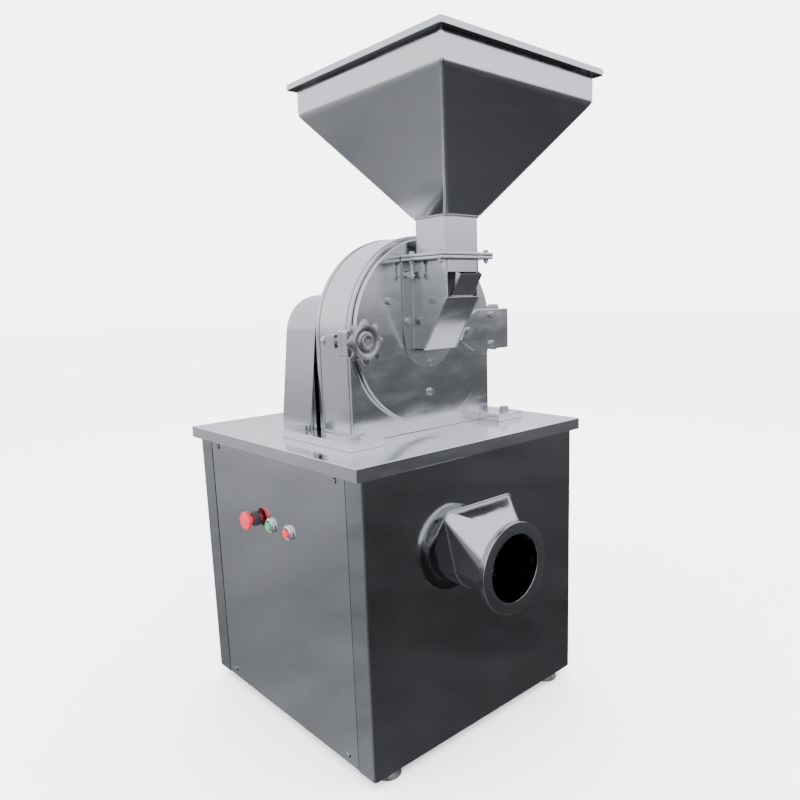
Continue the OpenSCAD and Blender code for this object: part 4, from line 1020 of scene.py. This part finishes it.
wheel_rows = [(4.9, 4.4, 0), (5.2, 5.6, 0), (11.5, 6, 0), (13, 5, 0), (14, 2.2, 0)]
wheel_rows += [(19, 0.4, 0), (21, 3.6, 0), (24, 5.0, 0), (27.5, 5.0, 0), (29.5, 3.2, 0)]
wheel_rows += [(30.4, 0.6, 0.0), (33.0, -0.2, 0.08), (35.6, -1.2, 0.12), (36.2, -2.8, 0.13)]
wheel_rows += [(35.0, -4.6, 0.10), (31.5, -5.0, 0.04), (28.5, -4.6, 0.0), (25, -4.4, 0.0)]
wheel_rows += [(18, -6.5, 0.01), (15, -10, 0), (14.5, -28, 0), (13.5, -29.6, 0), (4.9, -29.6, 0)]
wheel = loft([lobed(*row) for row in wheel_rows], "ring")
screw_end = plate(
    [[-4.6, -4.6], [4.6, -4.6], [4.6, 4.6], [-4.6, 4.6]], 0.8, at(latch_x, wheel_y, latch_z),
    FRONT, 5.6, 0.5,
)
lift(
    "handwheel_casting", "hand_screw_set", wheel_metal, wheel,
    stands_for=["handwheel"], slot="stainless",
)
thread_long = (high("hand_screw")[1] - low("hand_screw")[1]) * 1000 - 30
BACK = ([1, 0, 0], [0, 0, -1], [0, 1, 0])
screw = stud_end(at(latch_x, wheel_y + 22, latch_z), BACK, mm(7), mm(thread_long), 0.0018)
lift(
    "hand_screw_thread", "hand_screw_set", turned_steel, screw, screw_end,
    stands_for=["hand_screw"], slot="machined_steel",
)

# %% [markdown]
# ## Softened copies
#
# Sheet that was sheared and dressed has an edge about a millimetre round, and that edge is
# what catches the light. Where the CAD shape is right in all but its edges, the quickest
# good piece is a copy of the CAD mesh: merged into one skin, its flat triangles dissolved
# into whole faces, and every crisp edge cut back. The holes stay exactly where they were.

# %% Round the edges of a CAD node
import bmesh


def softened(name, node, body, finish, width):
    """A merged copy of a CAD node with a two-step bevel of width metres on each edge whose
    faces meet at more than 30 degrees."""
    crisp = np.radians(30)
    mesh = nodes[node].data.copy()
    mesh.name = name
    skin = bmesh.new()
    skin.from_mesh(mesh)
    bmesh.ops.remove_doubles(skin, verts=skin.verts, dist=1e-6)
    bmesh.ops.dissolve_limit(
        skin, angle_limit=np.radians(0.5), verts=skin.verts, edges=skin.edges
    )
    sharp = [
        edge for edge in skin.edges
        if len(edge.link_faces) == 2 and edge.calc_face_angle(0) > crisp
    ]
    bmesh.ops.bevel(
        skin, geom=sharp, offset=width, offset_type="OFFSET", segments=2, profile=0.5,
        affect="EDGES", clamp_overlap=False,
    )
    bmesh.ops.recalc_face_normals(skin, faces=skin.faces)
    skin.to_mesh(mesh)
    skin.free()
    mesh.polygons.foreach_set("use_smooth", np.ones(len(mesh.polygons), bool))
    mesh.set_sharp_from_angle(angle=np.radians(40))
    mesh.materials.clear()
    mesh.materials.append(finish)
    piece = bpy.data.objects.new(name, mesh)
    bpy.context.scene.collection.objects.link(piece)
    flat_faces(piece)
    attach(piece, body)
    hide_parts(node)
    made.append(name)
    print(f"{name}: {len(mesh.polygons)} faces from {node}")
    return piece


softened("cap_plate_sheet", "cap_plate", "cabinet", sheet_cap, mm(1.3))
softened("foot_plate_bars", "foot_plates", "cabinet", sheet_cap, mm(1.2))

# %% [markdown]
# ## The cabinet's front
#
# The front is one polished sheet folded round both upright corners. The fold has a radius
# of a few millimetres, and it shows as a thin bright line from top to bottom. So the flat
# part is a ring round the mouth of the spout, and each fold is a strip whose plan is an L
# with a quarter circle at its knee, carried straight up.

# %% Front sheet and corner folds
cab_half = (high("front_panel")[0] - low("front_panel")[0]) * 500
cab_front = (low("front_panel") - cabinet)[1] * 1000
panel_low, panel_top = low("front_panel")[2] * 1000, high("front_panel")[2] * 1000
mouth_x = (mouth - cabinet)[0] * 1000
mouth_z = mouth[2] * 1000
FOLD = 5.0
SHEET = 2
AROUND = 240


def hull_of_circles(circles, steps):
    """The outline round several circles (x, z, r), one point for each direction d that it
    can face: the point of the circle whose x*dx + z*dz + r is the greatest."""
    turn = np.linspace(0, 2 * np.pi, steps, endpoint=False)
    way = np.column_stack([np.cos(turn), np.sin(turn)])
    spots = np.asarray(circles, float)
    best = spots[np.argmax(way @ spots[:, :2].T + spots[:, 2], 1)]
    return best[:, :2] + best[:, 2:] * way


def mouth_by_way(grow, steps):
    """The mouth in the front sheet: a big circle and two small ones above, grown."""
    small = [(mouth_x + s * 76, mouth_z + 91, 14 + grow) for s in (-1, 1)]
    return hull_of_circles([(mouth_x, mouth_z + 12, 70 + grow), *small], steps)


def mouth_outline(grow):
    """The same outline with its points spaced evenly."""
    return even(mouth_by_way(grow, 6 * AROUND), AROUND)


flat_half = cab_half - FOLD
sheet_edge = np.array([
    [-flat_half, panel_low], [flat_half, panel_low], [flat_half, panel_top],
    [-flat_half, panel_top],
])
front_sheet = ring_slab(
    mm(1) * even(sheet_edge, AROUND), mm(1) * mouth_outline(0.0), at(0, cab_front + SHEET, 0),
    FRONT, mm(SHEET), mm(0.04),
)


def corner_fold(side):
    """The L-shaped plan with a round knee, carried from the panel's foot to its top."""
    t = np.linspace(0, np.pi / 2, 12)
    knee = np.column_stack([np.sin(t), -np.cos(t)])
    centre = np.array([cab_half - FOLD, cab_front + FOLD])
    tail = [[cab_half, cab_front + 45.4], [cab_half - 0.6, cab_front + 46]]
    tail += [[cab_half - SHEET, cab_front + 46]]
    inner = centre + (FOLD - SHEET) * knee[::-1]
    plan = np.concatenate([centre + FOLD * knee, tail, inner]) * [side, 1]
    rows = [(0.6, panel_low), (0, panel_low + 0.6), (0, panel_top - 0.6), (0.6, panel_top)]
    return loft([facing(mm(1) * inset(plan, i), at(0, 0, z), FLAT) for i, z in rows])


lift(
    "front_sheet_folded", "cabinet", sheet_front, front_sheet, corner_fold(1), corner_fold(-1),
    stands_for=["front_panel"], slot="stainless", crease=25,
)

# %% [markdown]
# ## Small things on the cabinet
#
# The panel screws have low round heads with a recess, and the feet are ribbed rubber. The
# two push buttons have knurled chrome rings and the mushroom a black one. A knurl is a
# radius with a small fast ripple, and a rib is a profile with a few steps.

# %% Panel screws and feet
cab_side = (low("left_panel") - cabinet)[0] * 1000
screws = []
for x, way in ((cab_side, -1), (-cab_side, 1)):
    SIDE = ([0, way, 0], [0, 0, 1], [way, 0, 0])
    for y in (-1, 1):
        for z in (38, 555):
            origin = at(x, y * 213.2, z)
            head = [(1e-2, 0.0), (3.4, 0.0), (5.4, 1.0), (5.5, 1.9), (4.9, 2.5), (2.2, 2.5)]
            head += [(2.1, 0.9), (1e-2, 0.7)]
            screws.append(turned(in_mm(head), origin, SIDE, 24))
lift(
    "panel_screw_heads", "cabinet", fastener, *screws,
    stands_for=["panel_screws"], slot="stainless",
)

foot_spots = [(x, y) for x in (-232, 232) for y in (-262, 262)]
foot_profile = [(1e-2, 0), (21, 0), (23, 0.8), (24.4, 2.4), (25, 3.4)]
foot_profile += [
    (25 - 0.2 * z - (0.9 if k % 2 else 0), z + 4) for k, z in enumerate(range(0, 15, 2))
]
foot_profile += [(21, 19.6), (1e-2, 20)]
feet_shapes = [turned(in_mm(foot_profile), at(x, y, 0), FLAT, 40) for x, y in foot_spots]
lift("rubber_feet", "cabinet", black_rubber, *feet_shapes, stands_for=["feet"], slot="rubber_black")

# %% Switches
switch_z = middle("start_button")[2] * 1000
switch_nodes = ("estop_button", "start_button", "stop_button")
switch_ys = [(middle(node) - cabinet)[1] * 1000 for node in switch_nodes]
KNURLS = 44
SWITCH = ([0, -1, 0], [0, 0, 1], [-1, 0, 0])


def knurled(radius, depth, bite, y):
    """radius * (1 - bite*|sin(22t)|) at a depth out from the panel."""
    t = np.arange(KNURLS * 6) * 2 * np.pi / (KNURLS * 6)
    r = mm(radius) * (1 - bite * np.abs(np.sin(KNURLS / 2 * t)))
    outline = r[:, None] * np.column_stack([np.cos(t), np.sin(t)])
    return facing(outline, at(cab_side, y, switch_z), SWITCH, mm(depth))


knurl_rows = [(15, 0.05, 0), (15, 1.2, 0), (14.8, 1.5, 0.035), (14.8, 5.0, 0.035)]
knurl_rows += [(14.3, 5.6, 0), (13.2, 6.7, 0), (12, 7, 0), (10.4, 7, 0), (9.2, 6.2, 0)]
knurl_rows += [(8.95, 5, 0), (8.95, 0.05, 0)]
collar = [(8.95, 0.02), (11, 0.02), (11, -22), (8.95, -22)]
lock = [(11.02, -2.1), (15.4, -2.1), (16, -2.7), (16, -6.4), (15.4, -7), (11.02, -7)]
bezels = []
for y in switch_ys:
    centre = at(cab_side, y, switch_z)
    bezels.append([
        loft([knurled(r, d, bite, y) for r, d, bite in knurl_rows], "ring"),
        turned_ring(in_mm(collar), centre, SWITCH, 40),
        turned_ring(in_mm(lock), centre, SWITCH, 40),
    ])
lift(
    "switch_bezels", "cabinet", chrome, *bezels[1], *bezels[2],
    stands_for=["button_bezels"], slot="bright_chrome",
)
lift("stop_switch_collar", "cabinet", black_plastic, *bezels[0], slot="plastic_black")

cap_rows = [(7.9, -18), (8.4, -17.4), (8.45, 9.4), (8.0, 10.3), (6.6, 10.8), (3.2, 11)]
cap_rows += [(1e-2, 11)]
for node, body, y, finish, slot in (
    ("start_button", "start", switch_ys[1], green_cap, "plastic_green"),
    ("stop_button", "stop", switch_ys[2], red_cap, "plastic_red"),
):
    cap = turned(in_mm(cap_rows), at(cab_side, y, switch_z), SWITCH, 48)
    lift(body + "_push_cap", body, finish, cap, stands_for=[node], slot=slot)
stem = [(7.9, -18), (8.4, -17.4), (8.45, 15.6), (17, 15.8), (18.7, 16.4), (18.95, 17.4)]
stem += [(18.95, 21.6), (18.2, 23.4), (16.4, 25.2), (13.4, 26.8), (9, 27.6), (4, 27.95), (1e-2, 28)]
mushroom = turned(in_mm(stem), at(cab_side, switch_ys[0], switch_z), SWITCH, 64)
lift("mushroom_head", "estop", red_cap, mushroom, stands_for=["estop_button"], slot="plastic_red")

# %% [markdown]
# ## The spout
#
# The spout joins the tall mouth in the panel to a round flange. A sheet stretched over both
# touches each at the places that face the same way, so points are matched by direction,
# not by distance run: that keeps the top flat and the sides straight. The flange is turned
# with a rolled edge, and a weld runs round both ends.

# %% Spout and ring
ring_back = (high("outlet_ring") - cabinet)[1] * 1000
ring_front = (low("outlet_ring") - cabinet)[1] * 1000
bore = 64.0


def spout_level(share, grow, y):
    """(1-share)*mouth + share*circle for points that face the same way, at a distance y."""
    wide = mouth_by_way(grow, AROUND)
    ring = circle(bore + grow, AROUND) + [mouth_x, mouth_z]
    return facing(mm(1) * ((1 - share) * wide + share * ring), at(0, y, 0), FRONT)


spread = np.linspace(0, 1, 9)
reach = ring_back - cab_front
spout_rows = [spout_level(s, 2, cab_front + s * reach) for s in spread]
spout_rows += [spout_level(s, 0.02, cab_front + s * reach) for s in spread[::-1]]
lift(
    "spout_sheet", "cabinet", sheet_duct, loft(spout_rows, "ring"),
    stands_for=["outlet_spout"], slot="stainless", crease=40,
)
thick = ring_back - ring_front
rolled = [(bore, 0.0), (86.4, 0.0), (87, 0.6), (87, thick - 1.6), (86.4, thick - 0.5)]
rolled += [(85, thick), (66, thick), (64.6, thick - 0.5), (bore, thick - 1.6)]
flange = turned_ring(in_mm(rolled), at(mouth_x, ring_back, mouth_z), FRONT, 128)
lift("spout_flange", "cabinet", sheet_duct, flange, stands_for=["outlet_ring"], slot="stainless")
mouth_bead = facing(mm(1) * mouth_outline(2.6), at(0, cab_front - 0.2, 0), FRONT)
ring_bead = facing(
    mm(1) * (circle(bore + 2.6, AROUND) + [mouth_x, mouth_z]), at(0, ring_back + 0.2, 0), FRONT
)
lift(
    "spout_welds", "cabinet", weld, bead(mouth_bead, mm(1.7), closed=True),
    bead(ring_bead, mm(1.7), closed=True), slot="stainless",
)

# %% [markdown]
# ## The mill housing
#
# The grinding chamber is a thick ring welded to two plates. Its outer skin is turned bright,
# and the weld that joins the shell to the front plate was laid by hand. The plates are
# softened copies of the CAD ones, and the weld follows the shell's own outline: an arch
# with straight legs.

# %% Shell, front plate and their welds
softened("chamber_shell", "housing_shell", "cabinet", sheet_round, mm(1.0))
softened("chamber_front", "housing_front", "cabinet", sheet_round, mm(1.6))
softened("chamber_back", "housing_back", "cabinet", sheet_round, mm(1.2))
house_front = (low("housing_front") - cabinet)[1] * 1000
shell_front = (low("housing_shell") - cabinet)[1] * 1000
shell_back = (high("housing_shell") - cabinet)[1] * 1000
shell_r = high("housing_shell")[2] * 1000 - spindle_z
foot_top = high("foot_plates")[2] * 1000
t = np.linspace(0, np.pi, 241)
arch = np.column_stack([shell_r * np.cos(t), spindle_z + shell_r * np.sin(t)])
arch = np.concatenate([[[shell_r, foot_top + 1]], arch, [[-shell_r, foot_top + 1]]])
chamber_beads = []
for y in (shell_front, shell_back):
    seam = [at(x * (1 + 0.3 / shell_r), y, z) for x, z in arch]
    chamber_beads.append(bead(stretch_out(seam, 0.0018), mm(1.6), sides=6))
for side in (-1, 1):
    seam = [at(side * (shell_r + 1), y, foot_top + 1) for y in (house_front + 2, shell_back - 2)]
    chamber_beads.append(bead(stretch_out(seam), mm(3.0), ripple=0.2))
lift("chamber_welds", "cabinet", weld, *chamber_beads, slot="stainless")

# %% Mill bolts
mill_heads = []
for side in (-1, 1):
    for x, y in ((205, -170), (216, -18)):
        spot_here = at(side * x, y, foot_top)
        mill_heads += bolt_head(spot_here, FLAT, mm(18), mm(8.2), mm(12.5), mm(2))
        tail = in_mm([(5.7, 0), (6, 1), (6, 20), (5.4, 21)])
        mill_heads.append(turned(tail, at(side * x, y, foot_top - 20.5), FLAT, 24))
lift(
    "mill_bolt_heads", "cabinet", fastener, *mill_heads,
    stands_for=["mill_bolts"], slot="stainless",
)

# %% [markdown]
# ## Guard, hinge bracket and door screw block
#
# The drive guard is a folded hood, and its plinth closes the gap to the cap. They and the
# two welded blocks have edges that were broken with a file, so they are softened copies.

# %% Softened hood and blocks
softened("drive_hood", "belt_guard", "cabinet", sheet_guard, mm(0.8))
softened("drive_hood_plinth", "guard_plinth", "cabinet", sheet_guard, mm(1.0))
softened("hinge_bracket_block", "hinge_bracket", "cabinet", sheet_round, mm(1.0))
softened("screw_block", "latch_block", "cabinet", sheet_round, mm(1.2))
softened("screw_block_stud", "latch_stud", "cabinet", fastener, mm(0.5))

# %% [markdown]
# ## Floor, lights and the room that the metal sees
#
# Polished metal has hardly any colour of its own: it shows the room. So the room matters as
# much as the finish. The floor is plain and pale. Round the machine stands a dome that
# only reflections can see: grey ground below the horizon, a dark band of walls, and a
# bright sky overhead, brighter on one side. Soft area lights do the rest.

# %% Build the stage
SKY_RADIUS = 9.0


def only_mirrored(thing):
    """The camera and soft light don't see this object, but reflections do."""
    for ray in ("camera", "diffuse", "transmission", "volume_scatter", "shadow"):
        setattr(thing, "visible_" + ray, False)


def stage_mesh(name, points, faces, finish):
    """A mesh that belongs to the room and not to the machine."""
    mesh = bpy.data.meshes.new(name)
    mesh.from_pydata(np.asarray(points).tolist(), [], faces)
    mesh.polygons.foreach_set("use_smooth", np.ones(len(mesh.polygons), bool))
    mesh.materials.append(finish)
    thing = bpy.data.objects.new(name, mesh)
    bpy.context.scene.collection.objects.link(thing)
    thing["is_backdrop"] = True
    return thing


floor_bench = Bench("pale_floor")
floor_tone = floor_bench.noise(3.0, 3.0)
floor_finish = floor_bench.finish(
    Base_Color=floor_bench.mix(floor_tone, (0.90, 0.90, 0.90, 1), (0.93, 0.93, 0.93, 1)),
    Roughness=0.8,
)
floor_half = 30.0
floor = stage_mesh(
    "floor",
    [[x * floor_half, y * floor_half, 0] for x, y in ((-1, -1), (1, -1), (1, 1), (-1, 1))],
    [[0, 1, 2, 3]],
    floor_finish,
)
floor.visible_glossy = False


def lamp(name, energy, size, place, target):
    """A square area light at place, aimed at target."""
    data = bpy.data.lights.new(name, "AREA")
    data.energy, data.size = energy, size
    light = bpy.data.objects.new(name, data)
    bpy.context.scene.collection.objects.link(light)
    away = np.subtract(place, target)
    away = away / np.linalg.norm(away)
    side = np.cross([0, 0, 1], away)
    side /= np.linalg.norm(side)
    turn = np.column_stack([side, np.cross(away, side), away])
    light.matrix_world = Matrix(
        [[*row, spot] for row, spot in zip(turn, place)] + [[0, 0, 0, 1]]
    )
    light.visible_glossy = False
    return light


lamp("key_light", 120, 2.6, (-1.8, -2.6, 3.2), (0, 0, 0.6))
lamp("side_light", 60, 2.4, (-3.2, 0.8, 2.2), (0, 0, 0.6))
lamp("back_light", 60, 2.4, (2.2, 2.6, 2.8), (0, 0, 0.8))

world = bpy.data.worlds.new("soft_room")
bpy.context.scene.world = world
world.use_nodes = True
background = world.node_tree.nodes["Background"]
background.inputs["Color"].default_value = (0.95, 0.96, 1.0, 1)
background.inputs["Strength"].default_value = 6.0

# %% [markdown]
# The dome is a sphere of points (r cos e cos a, r cos e sin a, r sin e). Its light comes
# from its own Object coordinates: height gives the ground, wall and sky bands, and the two
# level directions brighten one side of the room and darken the other.

# %% The mirrored dome
turns, rises = np.meshgrid(
    np.arange(64) * 2 * np.pi / 64, np.linspace(-np.pi / 2 + 0.01, np.pi / 2 - 0.01, 33)
)
dome_rows = SKY_RADIUS * np.stack(
    [np.cos(rises) * np.cos(turns), np.cos(rises) * np.sin(turns), np.sin(rises)], -1
)
dome_points, dome_faces = loft(dome_rows)
dome_bench = Bench("room_light")
axes = dome_bench.add("ShaderNodeSeparateXYZ", {}, {0: dome_bench.place})
east = axes * (1 / SKY_RADIUS)
north = Wire(dome_bench, axes.socket.node.outputs[1]) * (1 / SKY_RADIUS)
height = Wire(dome_bench, axes.socket.node.outputs[2]) * (1 / SKY_RADIUS)
ripple = dome_bench.noise(0.9, 4.0, (1, 1, 2.5), 0.6)
blotch = dome_bench.noise(0.35, 2.0)
toward_yard = 0.92 * north - 0.45 * east
ground = (0.40 + 0.36 * toward_yard).clipped(0.17, 0.9)
depth_stops = [(0.0, 0.80), (0.16, 0.75), (0.30, 0.40), (0.41, 0.68), (0.50, 0.95)]
ground = ground * dome_bench.ramp(height * 0.5 + 0.5, depth_stops)
ground = ground * (0.35 + 1.3 * ripple) * (0.6 + 0.8 * blotch)
to_wall = ((east + north) * 0.72).clipped()
low_share = (1.0 - 3.0 * height).clipped()
sky = 1.75 - 1.05 * to_wall * low_share
above = dome_bench.ramp(height * 0.5 + 0.5, [(0.525, 0.0), (0.56, 0.40), (0.63, 1.0)])
glow = ground * (1.0 - above) + sky * above
tint = dome_bench.mix(0.5, (0.90, 0.95, 1.06, 1), (0.97, 0.98, 1.02, 1))
dome_light = dome_bench.add("ShaderNodeEmission", {}, {"Color": tint, "Strength": glow})
dome_out = dome_bench.tree.nodes["Material Output"]
dome_bench.tree.links.new(dome_light.socket, dome_out.inputs["Surface"])
dome = stage_mesh("mirrored_room", dome_points, dome_faces, dome_bench.material)
only_mirrored(dome)

# %% [markdown]
# ## Finish
#
# The two boxes, the CAD model's and the dressed model's, are printed as their difference
# in millimetres, so that it is easy to see whether any piece grew past the CAD model.

# %% Print how far the boxes grew
look_box = [list(corner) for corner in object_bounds()]
growth = np.subtract(look_box, cad_box)
print("pieces made:", len(made), "growth in mm:", (growth * 1000).round(1).tolist())
